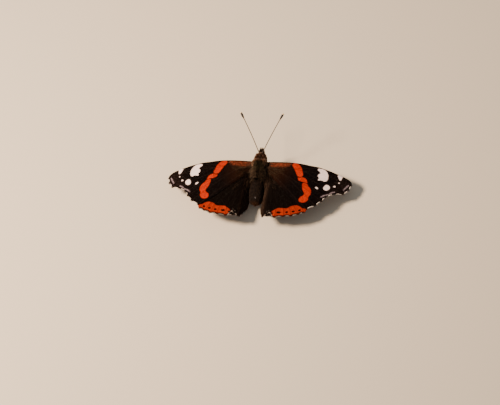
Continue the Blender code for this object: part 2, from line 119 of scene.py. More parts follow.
class Wire:
    """One value in a node tree, with Python's operators."""

    def __init__(self, finish, socket):
        self.finish = finish
        self.socket = socket

    def sum_with(self, operation, first, second):
        return self.finish.add("ShaderNodeMath", {"operation": operation}, first, second)

    def __add__(self, other):
        return self.sum_with("ADD", self, other)

    __radd__ = __add__

    def __sub__(self, other):
        return self.sum_with("SUBTRACT", self, other)

    def __rsub__(self, other):
        return self.sum_with("SUBTRACT", other, self)

    def __mul__(self, other):
        return self.sum_with("MULTIPLY", self, other)

    __rmul__ = __mul__

    def __truediv__(self, other):
        return self.sum_with("DIVIDE", self, other)

    def __pow__(self, other):
        return self.sum_with("POWER", self, other)

    def step(self, low, high):
        """A smooth rise from 0 at low to 1 at high, or a fall where low is above high."""
        settings = {"interpolation_type": "SMOOTHSTEP"}
        if low <= high:
            return self.finish.add("ShaderNodeMapRange", settings, self, low, high)
        return self.finish.add("ShaderNodeMapRange", settings, self, high, low, 1.0, 0.0)

    def alone(self, operation):
        """A sum that takes this value alone, such as FLOOR or FRACT."""
        return self.sum_with(operation, self, None)

    def least(self, other):
        return self.sum_with("MINIMUM", self, other)

    def most(self, other):
        return self.sum_with("MAXIMUM", self, other)


class Finish:
    """A material and the few kinds of node that this animal needs."""

    def __init__(self, name, roughness=0.7, **numbers):
        self.material = bpy.data.materials.new(name)
        self.material.use_nodes = True
        self.tree = self.material.node_tree
        self.shader = self.tree.nodes["Principled BSDF"]
        self.shader.inputs["Roughness"].default_value = roughness
        for socket, value in numbers.items():
            self.shader.inputs[socket.replace("_", " ")].default_value = value

    def add(self, kind, settings, *values, out=0):
        node = self.tree.nodes.new(kind)
        for setting, value in settings.items():
            setattr(node, setting, value)
        sockets = [socket for socket in node.inputs if socket.enabled]
        for socket, value in zip(sockets, values):
            self.join(value, socket)
        found = node.outputs[out] if isinstance(out, str) else [o for o in node.outputs if o.enabled][out]
        return Wire(self, found)

    def join(self, value, socket):
        if isinstance(value, Wire):
            self.tree.links.new(value.socket, socket)
        elif value is not None:
            socket.default_value = value

    def field(self, name, out="Fac"):
        return self.add("ShaderNodeAttribute", {"attribute_name": name}, out=out)

    def place(self):
        return self.add("ShaderNodeTexCoord", {}, out="Object")

    def noise(self, vector, scale, detail=3.0, rough=0.55):
        return self.add("ShaderNodeTexNoise", {}, vector, scale, detail, rough)

    def cells(self, vector, scale, out=0):
        return self.add("ShaderNodeTexVoronoi", {}, vector, scale, out=out)

    def stretch(self, vector, scale):
        return self.add("ShaderNodeMapping", {}, vector, None, None, scale)

    def mix(self, share, first, second):
        node = self.tree.nodes.new("ShaderNodeMix")
        node.data_type = "RGBA"
        for value, index in ((share, 0), (first, 6), (second, 7)):
            if isinstance(value, tuple):
                value = (*value, 1.0)
            self.join(value, node.inputs[index])
        return Wire(self, node.outputs[2])

    def paint(self, colour, roughness=None):
        self.join(colour if isinstance(colour, Wire) else (*colour, 1.0), self.shader.inputs["Base Color"])
        if roughness is not None:
            self.join(roughness, self.shader.inputs["Roughness"])

    def bump(self, height, depth, strength=1.0):
        node = self.tree.nodes.new("ShaderNodeBump")
        node.inputs["Strength"].default_value = strength
        node.inputs["Distance"].default_value = depth * MM
        self.join(height, node.inputs["Height"])
        self.tree.links.new(node.outputs["Normal"], self.shader.inputs["Normal"])


print("shader helpers ready")

# %% [markdown]
# ## Curves and distances
# The wing's outline, its veins and its markings are all smooth lines through a few points. A
# marking is stored on the mesh as the distance to its edge, which is positive inside. The
# material then cuts that distance at zero, so an edge stays sharp however coarse the mesh is.

# %% Smooth lines and distances to them


def smooth_line(knots, spacing, closed=False):
    """Points about the spacing apart on a smooth curve through the knots."""
    knots = [np.array(knot, float) for knot in knots]
    if closed:
        ends = [knots[-1], *knots, knots[0], knots[1]]
    else:
        ends = [2 * knots[0] - knots[1], *knots, 2 * knots[-1] - knots[-2]]
    line = [ends[1]]
    for before, start, stop, after in zip(ends, ends[1:], ends[2:], ends[3:]):
        steps = max(1, round(float(np.linalg.norm(stop - start)) / spacing))
        for step in range(1, steps + 1):
            t = step / steps
            bend = (2 * before - 5 * start + 4 * stop - after) * t * t
            turn = (3 * start - before - 3 * stop + after) * t ** 3
            line.append(0.5 * (2 * start + (stop - before) * t + bend + turn))
    return np.array(line[:-1] if closed else line)


def to_line(places, line, closed=False):
    """The distance from each place to a line of points."""
    stops = np.roll(line, -1, axis=0) if closed else line[1:]
    starts = line if closed else line[:-1]
    best = np.full(len(places), 1e9)
    for start, stop in zip(starts, stops):
        way = stop - start
        share = np.clip((places - start) @ way / max(1e-12, float(way @ way)), 0.0, 1.0)
        best = np.minimum(best, np.linalg.norm(places - start - share[:, None] * way, axis=1))
    return best


def within(places, outline):
    """True for each place inside a closed outline."""
    inside = np.zeros(len(places), bool)
    for start, stop in zip(outline, np.roll(outline, -1, axis=0)):
        if start[1] == stop[1]:
            continue
        spans = (start[1] > places[:, 1]) != (stop[1] > places[:, 1])
        cut = start[0] + (places[:, 1] - start[1]) / (stop[1] - start[1]) * (stop[0] - start[0])
        inside ^= spans & (cut > places[:, 0])
    return inside


def depth_in(places, knots):
    """How far inside a smooth closed shape each place is, negative outside."""
    outline = smooth_line(knots, 0.35, closed=True)
    return np.where(within(places, outline), 1.0, -1.0) * to_line(places, outline, closed=True)


def depth_in_oval(places, centre, reach, turn=0.0):
    """The same for an oval with two radii, turned by an angle in degrees."""
    angle = math.radians(turn)
    off = places - np.array(centre)
    along = off[:, 0] * math.cos(angle) + off[:, 1] * math.sin(angle)
    across = off[:, 1] * math.cos(angle) - off[:, 0] * math.sin(angle)
    return (1.0 - np.hypot(along / reach[0], across / reach[1])) * min(reach)


print("curve helpers ready")

# %% [markdown]
# ## The wing's plan
# A wing grows from its veins, so the plan does too: the outer edge runs from one vein end to the
# next and is hollow between them. The forewing follows the solids, and the hindwing's outer edge
# lies up to about half a millimetre beyond them. The fringe of long scales takes the last part of
# the outline, so the membrane stops short of it.

# %% Outlines and veins of both wings
FORE_COSTA = [(1.6, 0.6), (7.0, 0.65), (13.0, 0.55), (18.0, 0.05), (22.5, -0.5), (27.0, -1.7),
              (31.4, -3.05), (33.2, -4.1)]
FORE_INNER = [(19.9, -18.3), (13.9, -14.0), (7.8, -8.2), (1.8, -2.6)]
FORE_VEINS = {
    "radius": [(1.8, -0.5), (9.0, -1.5), (16.3, -2.6), (22.0, -3.0), (27.5, -4.0), (34.1, -5.5)],
    "radius_5": [(27.5, -4.0), (31.0, -6.0), (33.4, -7.9)],
    "median_1": [(16.3, -2.6), (22.0, -5.2), (27.2, -8.1), (31.7, -10.1)],
    "median_2": [(16.6, -4.6), (22.0, -7.0), (28.6, -10.8)],
    "median_3": [(15.6, -7.6), (20.5, -9.3), (26.0, -12.2)],
    "cubitus_1": [(13.2, -6.4), (19.0, -10.4), (24.9, -14.3)],
    "cubitus_2": [(9.4, -4.2), (16.3, -10.5), (22.9, -16.5)],
    "anal": [(1.8, -1.8), (8.0, -6.9), (14.2, -12.8), (19.9, -18.3)],
    "subcosta": [(2.2, 0.1), (10.0, -0.35), (16.8, -0.35)],
    "radius_1": [(12.6, -2.0), (17.5, -1.35), (21.6, -0.75)],
    "radius_2": [(16.3, -2.6), (21.5, -1.95), (26.0, -1.75)],
    "radius_3": [(22.0, -3.0), (27.0, -2.9), (31.0, -3.35)],
    "cell_foot": [(1.8, -1.1), (8.0, -3.6), (13.2, -6.4), (15.6, -7.6)],
    "cell_end": [(16.3, -2.6), (16.6, -4.6), (15.6, -7.6)],
}
FORE_MARGIN = ["radius", "radius_5", "median_1", "median_2", "median_3", "cubitus_1",
               "cubitus_2", "anal"]
FORE_SCALLOP = 0.3
HIND_COSTA = [(1.4, -2.3), (7.0, -3.0), (12.5, -6.0), (17.2, -10.6), (19.9, -14.9), (20.2, -17.2)]
HIND_INNER = [(4.25, -22.4), (3.75, -20.9), (3.1, -19.0), (2.6, -17.4), (2.35, -16.0), (2.3, -14.4),
              (2.55, -12.4), (2.75, -10.2), (2.45, -8.0), (1.5, -4.9)]
HIND_VEINS = {
    "sector": [(1.7, -3.0), (6.0, -5.2), (12.0, -10.5), (16.8, -15.4), (19.4, -19.8)],
    "median_1": [(6.0, -5.2), (8.7, -9.0), (13.3, -14.6), (17.45, -20.6)],
    "median_2": [(8.7, -9.0), (9.8, -10.8), (13.0, -16.0), (14.95, -21.75)],
    "median_3": [(8.7, -12.0), (11.2, -16.8), (12.3, -22.05)],
    "cubitus_1": [(7.4, -10.7), (9.0, -16.5), (8.95, -22.7)],
    "cubitus_2": [(5.6, -8.3), (6.7, -15.0), (6.05, -22.25)],
    "anal": [(1.8, -4.5), (3.7, -9.0), (4.4, -16.0), (4.25, -22.4)],
    "subcosta": [(2.0, -2.75), (7.2, -3.9), (12.4, -7.1), (16.6, -11.5), (19.2, -16.2)],
    "cell_foot": [(1.7, -3.9), (4.2, -6.6), (7.4, -10.7), (8.7, -12.0)],
    "cell_end": [(9.8, -10.8), (8.7, -12.0)],
}
HIND_MARGIN = ["sector", "median_1", "median_2", "median_3", "cubitus_1", "cubitus_2", "anal"]
HIND_SCALLOP = 0.5
FORE_FRINGE = 0.2
HIND_FRINGE = 0.12
EDGE_SPACING = 0.3


def outer_edge(veins, margin, depth):
    """The outer edge from vein end to vein end, hollow between them."""
    edge = []
    ends = [np.array(veins[name][-1]) for name in margin]
    for start, stop in zip(ends, ends[1:]):
        chord = stop - start
        inward = np.array((chord[1], -chord[0])) / np.linalg.norm(chord)
        steps = max(3, round(float(np.linalg.norm(chord)) / EDGE_SPACING))
        for step in range(steps):
            t = step / steps
            edge.append(start + chord * t + inward * depth * math.sin(math.pi * t))
    return np.array([*edge, ends[-1]])


def pulled_in(edge, by):
    """The same line moved to its left, towards the root, by the depth of the fringe."""
    ways = np.gradient(edge, axis=0)
    ways /= np.linalg.norm(ways, axis=1)[:, None]
    return edge + np.stack([ways[:, 1], -ways[:, 0]], axis=1) * by


fore_edge = outer_edge(FORE_VEINS, FORE_MARGIN, FORE_SCALLOP)
hind_edge = outer_edge(HIND_VEINS, HIND_MARGIN, HIND_SCALLOP)
print("outer edges:", len(fore_edge), len(hind_edge), "points")

# %% [markdown]
# ## The markings
# The orange bands and the large white spots are closed shapes with a few points each, the small
# spots are ovals and the thin marks are lines. They belong to the plan of the wing, so both wings
# of a pair share them.

# %% Shapes of the markings, in the plan of the right wing
FORE_BAND = [
    [(12.0, -0.4), (12.85, 0.5), (14.5, -0.2), (15.6, -1.6), (16.1, -3.1), (16.5, -4.4), (16.1, -4.95),
     (15.2, -5.1), (14.4, -4.6), (13.6, -3.1), (12.9, -1.9)],
    [(14.75, -5.5), (15.6, -5.45), (16.6, -5.2), (17.9, -5.9), (18.3, -6.7), (18.6, -7.4), (17.3, -7.1),
     (16.2, -7.0), (15.3, -6.6)],
    [(16.95, -7.6), (18.3, -7.65), (19.2, -8.8), (19.95, -9.6), (20.4, -10.6), (20.4, -11.9),
     (19.85, -13.0), (19.85, -14.2), (18.9, -15.4), (17.5, -15.65), (16.65, -14.95), (16.8, -13.6),
     (17.9, -12.7), (18.1, -11.8), (17.3, -10.3), (16.95, -9.0)]]
WHITE_BAR = [(21.3, -1.5), (21.6, -0.9), (22.9, -0.9), (23.8, -1.15), (24.3, -1.6), (24.8, -2.2),
             (25.25, -3.1), (25.4, -4.4), (25.0, -5.6), (24.2, -5.95), (23.4, -5.6), (22.0, -5.75),
             (22.35, -4.85), (21.7, -4.0), (21.95, -3.2), (22.5, -2.7), (22.1, -2.1)]
TIP_SPOT = [(28.6, -2.5), (29.5, -2.25), (30.4, -2.5), (30.15, -3.2), (30.0, -4.3), (29.5, -4.4),
            (29.0, -3.6)]
BIG_SPOT = [(24.45, -8.5), (24.95, -7.4), (25.85, -7.2), (26.65, -8.05), (26.25, -9.05), (25.5, -9.5),
            (24.7, -9.15)]
WHITE_OVALS = [((29.42, -5.5), (0.25, 0.23), 0), ((28.05, -7.27), (0.44, 0.35), 30),
               ((22.1, -8.97), (0.6, 0.33), -38)]
RUST = [(3.6, 0.9), (8.0, 0.9), (11.2, 0.6), (11.4, -0.3), (9.6, -1.3), (6.2, -1.7), (4.1, -1.3)]
LILAC_LINES = [[(31.3, -8.0), (32.0, -7.0), (32.7, -5.8)], [(32.1, -8.7), (33.0, -8.0)],
               [(26.7, -10.8), (27.55, -10.15), (28.45, -9.65)], [(24.2, -12.4), (25.15, -11.6), (26.2, -11.1)]]
LILAC_HALF = 0.17
HIND_BAND = [(20.6, -17.8), (19.5, -17.7), (18.4, -17.8), (17.4, -17.2), (16.15, -16.8), (15.15, -17.1),
             (14.1, -17.4), (13.35, -18.1), (12.5, -18.35), (11.1, -18.4), (9.95, -18.4), (8.95, -19.05),
             (7.85, -19.8), (7.5, -20.4), (7.7, -21.0), (8.4, -21.7), (9.0, -23.4), (15.0, -23.2),
             (20.8, -20.8)]
BLACK_DOTS = [((17.55, -18.7), (0.56, 0.42), 35), ((15.4, -19.4), (0.56, 0.44), 25),
              ((13.1, -19.9), (0.56, 0.44), 15), ((10.2, -20.25), (0.82, 0.48), 8),
              ((7.85, -20.7), (0.48, 0.4), 0)]
CRESCENTS = [[(6.35, -20.95), (6.95, -20.45), (7.75, -21.4), (8.4, -22.1)],
             [(4.95, -21.7), (5.3, -21.4), (5.7, -21.4)], [(5.6, -20.35), (6.0, -20.15)]]
CRESCENT_HALF = 0.12
THIN_LINES = [[(6.4, -19.75), (7.1, -19.6), (7.6, -19.75)]]
THIN_HALF = 0.03


def best_of(places, shapes):
    """The greatest depth in any of several closed shapes."""
    return np.max([depth_in(places, shape) for shape in shapes], axis=0)


def best_oval(places, ovals):
    return np.max([depth_in_oval(places, *oval) for oval in ovals], axis=0)


def best_line(places, lines, half):
    """How far inside the nearest of several soft lines."""
    return np.max([half - to_line(places, smooth_line(line, 0.2)) for line in lines], axis=0)


def fore_marks(places):
    """Every marking of the forewing at these places."""
    return {
        "band": best_of(places, FORE_BAND),
        "white": np.maximum(best_of(places, [WHITE_BAR, TIP_SPOT, BIG_SPOT]), best_oval(places, WHITE_OVALS)),
        "rust": depth_in(places, RUST),
        "lilac": best_line(places, LILAC_LINES, LILAC_HALF),
    }


def hind_marks(places):
    """Every marking of the hindwing at these places."""
    return {
        "band": depth_in(places, HIND_BAND),
        "dots": best_oval(places, BLACK_DOTS),
        "crescents": np.maximum(best_line(places, CRESCENTS, CRESCENT_HALF),
                                best_line(places, THIN_LINES, THIN_HALF)),
    }


print("markings:", len(FORE_BAND), "pieces in the forewing band")

# %% [markdown]
# ## The wing's sheet
# A wing is one membrane with its veins as fine ribs on both faces. It is made flat, as triangles
# between the outline, the vein lines and a loose honeycomb of points, and each point is then
# lifted to the wing's arch. Blender's constrained triangulation keeps every vein as a row of
# edges. The hindwing's inner edge folds down beside the abdomen like a gutter.

# %% The height of each wing above the wing plane
MEMBRANE = 0.11
RIB = 0.075
RIB_HALF = 0.15
SAG = 0.13
SAG_REACH = 0.9
WING_CROWN = 1.5
WING_CROWN_AT = 9.0
WING_ARCH = 0.0066
HINDWING_DROP = 0.45
TRAIL_DROOP = 0.2
TRAIL_WIDTH = 2.5
FOLD_DROP = 2.8
FOLD_WIDTH = 3.2
FOLD_START = -4.0
FOLD_FULL = -9.0
FOLD_EDGE = 2.6


def arch(places):
    return WING_CROWN - WING_ARCH * (places[:, 0] - WING_CROWN_AT) ** 2


def ripple(places):
    """The slow, uneven waves of a thin sheet."""
    x = places[:, 0]
    y = places[:, 1]
    outward = np.clip((np.hypot(x, y) - 8.0) / 20.0, 0.0, 1.0)
    waves = np.sin(0.55 * x + 0.8 * y) + 0.7 * np.sin(0.9 * x - 0.6 * y + 1.3)
    return 0.07 * outward * waves


def fore_height(places):
    """The forewing's trailing edge droops until it rests on the hindwing."""
    trail = to_line(places, smooth_line(FORE_INNER, 1.0))
    droop = np.clip(1.0 - trail / TRAIL_WIDTH, 0.0, 1.0) ** 2
    return arch(places) + ripple(places) - TRAIL_DROOP * droop


def hind_height(places):
    along = np.clip((places[:, 1] - FOLD_START) / (FOLD_FULL - FOLD_START), 0.0, 1.0)
    fold = np.clip(1.0 - (places[:, 0] - FOLD_EDGE) / FOLD_WIDTH, 0.0, None)
    return arch(places) + ripple(places) - HINDWING_DROP - FOLD_DROP * along * fold ** 2


# %% Triangles between the veins
GRID = 0.34
VEIN_STEP = 0.32


def honeycomb(outline, lines, seed):
    """Loose rows of points inside the outline, clear of its edge and of the veins."""
    low = outline.min(axis=0)
    high = outline.max(axis=0)
    rows = np.arange(low[1], high[1], GRID * 0.87)
    points = []
    for number, y in enumerate(rows):
        xs = np.arange(low[0] + (number % 2) * GRID / 2, high[0], GRID)
        points.append(np.stack([xs, np.full(len(xs), y)], axis=1))
    points = np.concatenate(points)
    points += np.random.default_rng(seed).uniform(-0.2, 0.2, points.shape) * GRID
    clear = within(points, outline) & (to_line(points, outline, closed=True) > GRID * 0.6)
    for line in lines:
        clear &= to_line(points, line) > RIB_HALF + GRID * 0.4
    return points[clear]


def sheet_of(outline, veins, seed):
    """The flat places and triangles of a wing, and how far each place is from the nearest vein."""
    lines = [smooth_line(knots, VEIN_STEP) for knots in veins.values()]
    places = [Vector(place) for place in outline]
    edges = [(index, (index + 1) % len(outline)) for index in range(len(outline))]
    for number, line in enumerate(lines):
        others = [other for index, other in enumerate(lines) if index != number]
        ways = np.gradient(line, axis=0)
        ways /= np.linalg.norm(ways, axis=1)[:, None]
        side = np.stack([-ways[:, 1], ways[:, 0]], axis=1)
        crest = line[within(line, outline) & (to_line(line, outline, closed=True) > 0.1)]
        first = len(places)
        places += [Vector(place) for place in crest]
        edges += [(first + index, first + index + 1) for index in range(len(crest) - 1)]
        for sign in (-1, 1):
            feet = line + side * sign * RIB_HALF
            clear = within(feet, outline) & (to_line(feet, outline, closed=True) > 0.12)
            for other in others:
                clear &= to_line(feet, other) > RIB_HALF * 0.95
            places += [Vector(place) for place in feet[clear]]
    places += [Vector(place) for place in honeycomb(outline, lines, seed)]
    flat, _, faces, *_ = geometry.delaunay_2d_cdt(places, edges, [], 1, 0.01)
    flat = np.array([tuple(place) for place in flat])
    faces = np.array([tuple(face) for face in faces])
    first, second, third = (flat[faces[:, corner]] for corner in range(3))
    area = np.cross(second - first, third - first)
    faces[area < 0] = faces[area < 0][:, ::-1]
    near = np.min([to_line(flat, line) for line in lines], axis=0)
    return flat, faces, near


def outline_of(costa, inner, edge, fringe):
    """The membrane's outline, with the outer edge pulled in by the fringe."""
    front = smooth_line([*costa, edge[0]], EDGE_SPACING)[:-2]
    back = smooth_line(inner, EDGE_SPACING)[2:]
    return np.concatenate([front, pulled_in(edge, fringe)[1:-1], back])


fore_outline = outline_of(FORE_COSTA, FORE_INNER, fore_edge, FORE_FRINGE)
hind_outline = outline_of(HIND_COSTA, HIND_INNER, hind_edge, HIND_FRINGE)
fore_sheet = sheet_of(fore_outline, FORE_VEINS, 11)
hind_sheet = sheet_of(hind_outline, HIND_VEINS, 12)
print("forewing sheet:", len(fore_sheet[1]), "triangles, hindwing:", len(hind_sheet[1]))

# %% [markdown]
# ## From a flat sheet to a wing
# The sheet gets an upper and a lower face a tenth of a millimetre apart, and a rim that closes
# them. The marks are stored as attributes, so the material reads them at every point. A second
# UV map, laid out as the plan of the wing, gives a baked picture its full sharpness.

# %% Build the four wings


def store(mesh, name, values, kind="FLOAT", key="value"):
    """Keep one number or one vector for each point of a mesh."""
    layer = mesh.attributes.new(name, kind, "POINT")
    layer.data.foreach_set(key, np.asarray(values, np.float32).ravel())


def new_object(name, mesh, material):
    piece = bpy.data.objects.new(name, mesh)
    bpy.context.scene.collection.objects.link(piece)
    if material:
        mesh.materials.append(material)
    return piece


def mesh_of(name, places, faces, matrix):
    """A mesh from places in millimetres, put where the matrix says."""
    mesh = bpy.data.meshes.new(name)
    mesh.from_pydata([tuple(place) for place in places], [], [tuple(face) for face in faces])
    mesh.transform(matrix)
    mesh.transform(Matrix.Scale(MM, 4))
    mesh.shade_smooth()
    return mesh


def rim_edges(faces):
    """The edges that belong to one triangle only, each in its triangle's direction."""
    edges = np.concatenate([faces[:, [0, 1]], faces[:, [1, 2]], faces[:, [2, 0]]])
    known = {tuple(edge) for edge in edges}
    return [edge for edge in known if (edge[1], edge[0]) not in known]


def plan_map(mesh, flat, count):
    """The bake map: the wing's plan twice, with its lower face above its upper one."""
    low = flat.min(axis=0)
    plan = (flat - low) / (flat.max(axis=0) - low) * (0.94, 0.44) + (0.03, 0.03)
    corners = np.zeros(len(mesh.loops), int)
    mesh.loops.foreach_get("vertex_index", corners)
    face_of = np.repeat(np.arange(len(mesh.polygons)), [face.loop_total for face in mesh.polygons])
    spots = plan[corners % len(flat)]
    outer = (face_of >= 2 * count) & (corners >= len(flat))
    outward = spots - spots.mean(axis=0)
    spots[outer] += 0.004 * outward[outer] / np.linalg.norm(outward[outer], axis=1)[:, None]
    spots[(face_of >= count) & (face_of < 2 * count)] += (0.0, 0.5)
    layer = mesh.uv_layers.new(name="OFBake")
    layer.data.foreach_set("uv", spots.astype(np.float32).ravel())


def two_faces(flat, near, height):
    """The upper and the lower face of a wing over its flat places."""
    rib = RIB * np.exp(-((near / (RIB_HALF * 0.6)) ** 2))
    rib *= np.clip(1.15 - np.hypot(flat[:, 0], flat[:, 1]) / 40.0, 0.35, 1.0)
    middle = height(flat) - SAG * (1.0 - np.exp(-((near / SAG_REACH) ** 2)))
    half = MEMBRANE / 2 + rib
    return np.column_stack([flat, middle + half]), np.column_stack([flat, middle - half])


def make_wing(name, sheet, height, marks, edge, side, material):
    flat, faces, near = sheet
    count = len(flat)
    places = np.concatenate(two_faces(flat, near, height))
    rim = [(stop, start, start + count, stop + count) for start, stop in rim_edges(faces)]
    triangles = [*faces.tolist(), *(faces[:, ::-1] + count).tolist()]
    mirror = Matrix.Scale(side, 4, (1.0, 0.0, 0.0))
    mesh = mesh_of(name, places, [*triangles, *rim], WINGS @ mirror)
    if side < 0:
        mesh.flip_normals()
    fields = {"vein": near, "edge": to_line(flat, edge), "root": np.hypot(flat[:, 0], flat[:, 1]),
              "sweep": np.arctan2(-flat[:, 1], flat[:, 0]), **marks(flat)}
    for field, values in fields.items():
        store(mesh, field, np.tile(values, 2))
    store(mesh, "under", np.repeat((0.0, 1.0), count))
    store(mesh, "plan", np.tile(np.column_stack([flat, np.zeros(count)]), (2, 1)), "FLOAT_VECTOR", "vector")
    plan_map(mesh, flat, len(faces))
    return new_object(name, mesh, material)


print("wing builder ready")

# %% [markdown]
# ## The scales of the wing
# A butterfly's colour is dust: rows of flat scales, each one colour, that overlap like tiles. The
# material lays rows around the wing's root, gives every scale its own shade and lifts its free
# end a little. Over that, each marking is cut from its stored distance, and a little noise makes
# its edge as ragged as rows of single scales are. The lower face carries its own quieter pattern.

# %% Materials of the wings
ROWS_PER_MM = 7.0
LANES = 190.0
SCALE_HEIGHT = 0.02


def srgb(red, green, blue):
    """A colour as seen in a picture, turned into the light that a surface reflects."""
    return tuple((value / 255 / 12.92) if value < 11 else ((value / 255 + 0.055) / 1.055) ** 2.4
                 for value in (red, green, blue))


ORANGE = (0.42, 0.021, 0.0003)
ORANGE_DEEP = (0.30, 0.011, 0.0003)
HIND_ORANGE = (0.32, 0.020, 0.0004)
HIND_ORANGE_DEEP = (0.20, 0.009, 0.0003)
WHITE = (0.96, 0.70, 0.60)
LILAC = srgb(178, 152, 152)
RUSTY = srgb(120, 52, 30)
FORE_BLACK = srgb(9, 4, 3)
FORE_BROWN = srgb(31, 12, 4)
ROOT_BROWN = srgb(70, 46, 32)
TIP_BROWN = srgb(40, 26, 20)
HIND_BROWN = srgb(9, 4, 2)
FOLD_BROWN = srgb(36, 20, 12)
MARGIN_PALE = srgb(182, 158, 138)


class Wing(Finish):
    """A wing's material, with the rows of scales that both pairs share."""

    def __init__(self, name):
        super().__init__(name, 0.8, Specular_IOR_Level=0.01)
        self.out = self.field("root")
        self.vein = self.field("vein")
        row = self.out * ROWS_PER_MM + self.grain(1.2) * 3.0
        lane = self.field("sweep") * LANES + self.grain(0.9) * 4.0 + row.alone("FLOOR") * 0.5
        cell = self.add("ShaderNodeCombineXYZ", {}, row.alone("FLOOR"), lane.alone("FLOOR"))
        self.shade = self.add("ShaderNodeTexWhiteNoise", {"noise_dimensions": "2D"}, cell)
        rounded = 1.0 - (lane.alone("FRACT") * 2.0 - 1.0) ** 2.0
        self.tile = row.alone("FRACT") * rounded

    def grain(self, per_mm, detail=3.0):
        """Noise between -0.5 and 0.5, with this many waves in a millimetre."""
        return self.noise(self.place(), per_mm / MM, detail) - 0.5

    def cut(self, field, ragged=0.35, soft=0.12):
        """A marking's share of each point, with an edge broken by single scales."""
        depth = self.field(field) + self.grain(3.0) * ragged + (self.shade - 0.5) * soft
        return depth.step(-soft, soft)

    def finish_with(self, upper, lower):
        """The two faces, each scale in its own shade and every row of scales in low relief."""
        both = self.mix(self.field("under"), upper, lower)
        shaded = self.mix(self.shade * 0.30, both, (0.0, 0.0, 0.0))
        glint = self.mix((self.shade - 0.85) * 0.08, shaded, (0.9, 0.8, 0.7))
        self.paint(glint, 0.72 + self.shade * 0.2)
        self.bump(self.tile + self.grain(2.0) * 0.6, SCALE_HEIGHT, 0.6)
        return self.material


def fore_upper(wing):
    """Near black, brown towards the body, with the orange band and the white spots."""
    ground = wing.mix(wing.out.step(6.0, 17.0), FORE_BROWN, FORE_BLACK)
    ground = wing.mix(wing.out.step(5.0, 3.0) * 0.8, ground, ROOT_BROWN)
    dust = wing.out.step(25.0, 34.0) * (wing.shade + wing.grain(1.5)).step(0.2, 1.1)
    ground = wing.mix(dust, ground, TIP_BROWN)
    ground = wing.mix(wing.vein.step(0.16, 0.04) * 0.3, ground, TIP_BROWN)
    along = wing.add("ShaderNodeSeparateXYZ", {}, wing.field("plan", "Vector"), out="Y")
    rust = wing.cut("rust", 1.2, 0.5) * (0.55 + wing.grain(1.6) * 2.2 + (wing.shade - 0.5) * 0.5)
    rust = rust * along.step(0.35, 0.05)
    ground = wing.mix(rust.alone("ABSOLUTE"), ground, RUSTY)
    ground = wing.mix(wing.cut("lilac", 0.5, 0.2) * 0.65, ground, LILAC)
    flame = wing.mix((wing.shade + wing.grain(0.6)).step(0.2, 1.1), ORANGE, ORANGE_DEEP)
    between = 1.0 - wing.vein.step(0.2, 0.05) * 0.3
    ground = wing.mix(wing.cut("band", 0.5) * between, ground, flame)
    return wing.mix(wing.cut("white", 0.35), ground, WHITE)


def fore_lower(wing):
    """Red and white show through a grey and brown marbled tip."""
    marble = wing.grain(0.5, 6.0).step(-0.15, 0.2)
    tip = wing.mix(marble, srgb(70, 52, 38), srgb(128, 108, 84))
    ground = wing.mix(wing.out.step(24.0, 29.0), srgb(30, 22, 20), tip)
    ground = wing.mix(wing.cut("rust", 1.6, 0.5) * 0.8, ground, srgb(150, 92, 70))
    ground = wing.mix(wing.cut("lilac", 0.5) * 0.6, ground, srgb(150, 150, 160))
    ground = wing.mix(wing.cut("band") * wing.vein.step(0.1, 0.3), ground, srgb(214, 84, 52))
    return wing.mix(wing.cut("white", 0.25), ground, srgb(232, 226, 214))


def hind_upper(wing):
    """Brown, with a long-haired fold beside the body and the orange edge with its black dots."""
    across = wing.add("ShaderNodeSeparateXYZ", {}, wing.field("plan", "Vector"))
    ground = wing.mix(across.step(5.5, 3.0) * 0.8, HIND_BROWN, FOLD_BROWN)
    flame = wing.mix((wing.shade + wing.grain(0.6)).step(0.2, 1.1), HIND_ORANGE, HIND_ORANGE_DEEP)
    between = 1.0 - wing.vein.step(0.18, 0.05) * 0.45
    ground = wing.mix(wing.cut("band") * between, ground, flame)
    ground = wing.mix(wing.cut("dots", 0.2, 0.08), ground, FORE_BLACK)
    ground = wing.mix(wing.field("edge").step(0.68, 0.5) * 0.9, ground, FORE_BLACK)
    return wing.mix(wing.cut("crescents", 0.1, 0.05) * 0.7, ground, MARGIN_PALE)


def hind_lower(wing):
    """Marbled like bark: brown, black and grey, with a row of dim rings before the edge."""
    coarse = wing.grain(0.35, 5.0).step(-0.12, 0.14)
    fine = wing.grain(1.1, 6.0).step(-0.1, 0.2)
    bark = wing.mix(coarse, srgb(34, 26, 22), srgb(92, 68, 48))
    bark = wing.mix(fine * 0.5, bark, srgb(140, 122, 98))
    ring = wing.field("edge").step(2.2, 2.8) * wing.field("edge").step(4.2, 3.6)
    return wing.mix(ring * 0.5, bark, srgb(58, 62, 60))


fore_finish = Wing("forewing scales")
fore_finish.finish_with(fore_upper(fore_finish), fore_lower(fore_finish))
hind_finish = Wing("hindwing scales")
hind_finish.finish_with(hind_upper(hind_finish), hind_lower(hind_finish))
print("wing materials:", len(fore_finish.tree.nodes), "and", len(hind_finish.tree.nodes), "nodes")

# %% Put the wings on
PAIRS = (("forewing", fore_sheet, fore_height, fore_marks, fore_edge, fore_finish),
         ("hindwing", hind_sheet, hind_height, hind_marks, hind_edge, hind_finish))
for pair, sheet, height, marks, edge, finish in PAIRS:
    for side, hand in ((-1, "left"), (1, "right")):
        wing = make_wing(f"{pair}_scales_{hand}", sheet, height, marks, edge, side, finish.material)
        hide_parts(f"{pair}_{hand}")
        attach(wing, "root")
        print(wing.name, len(wing.data.polygons), "faces")

# %% [markdown]
# ## The skin of the body
# Head, chest and abdomen are three separate parts of the shell, but the skin is made here as one
# tube, so that no seam shows between them. Each ring of the tube takes its half-width and its
# height from the three parts at once, through a soft maximum, which also makes the neck and the
# waist. The skin lies a hair's depth inside the solids, and the coat fills that depth.

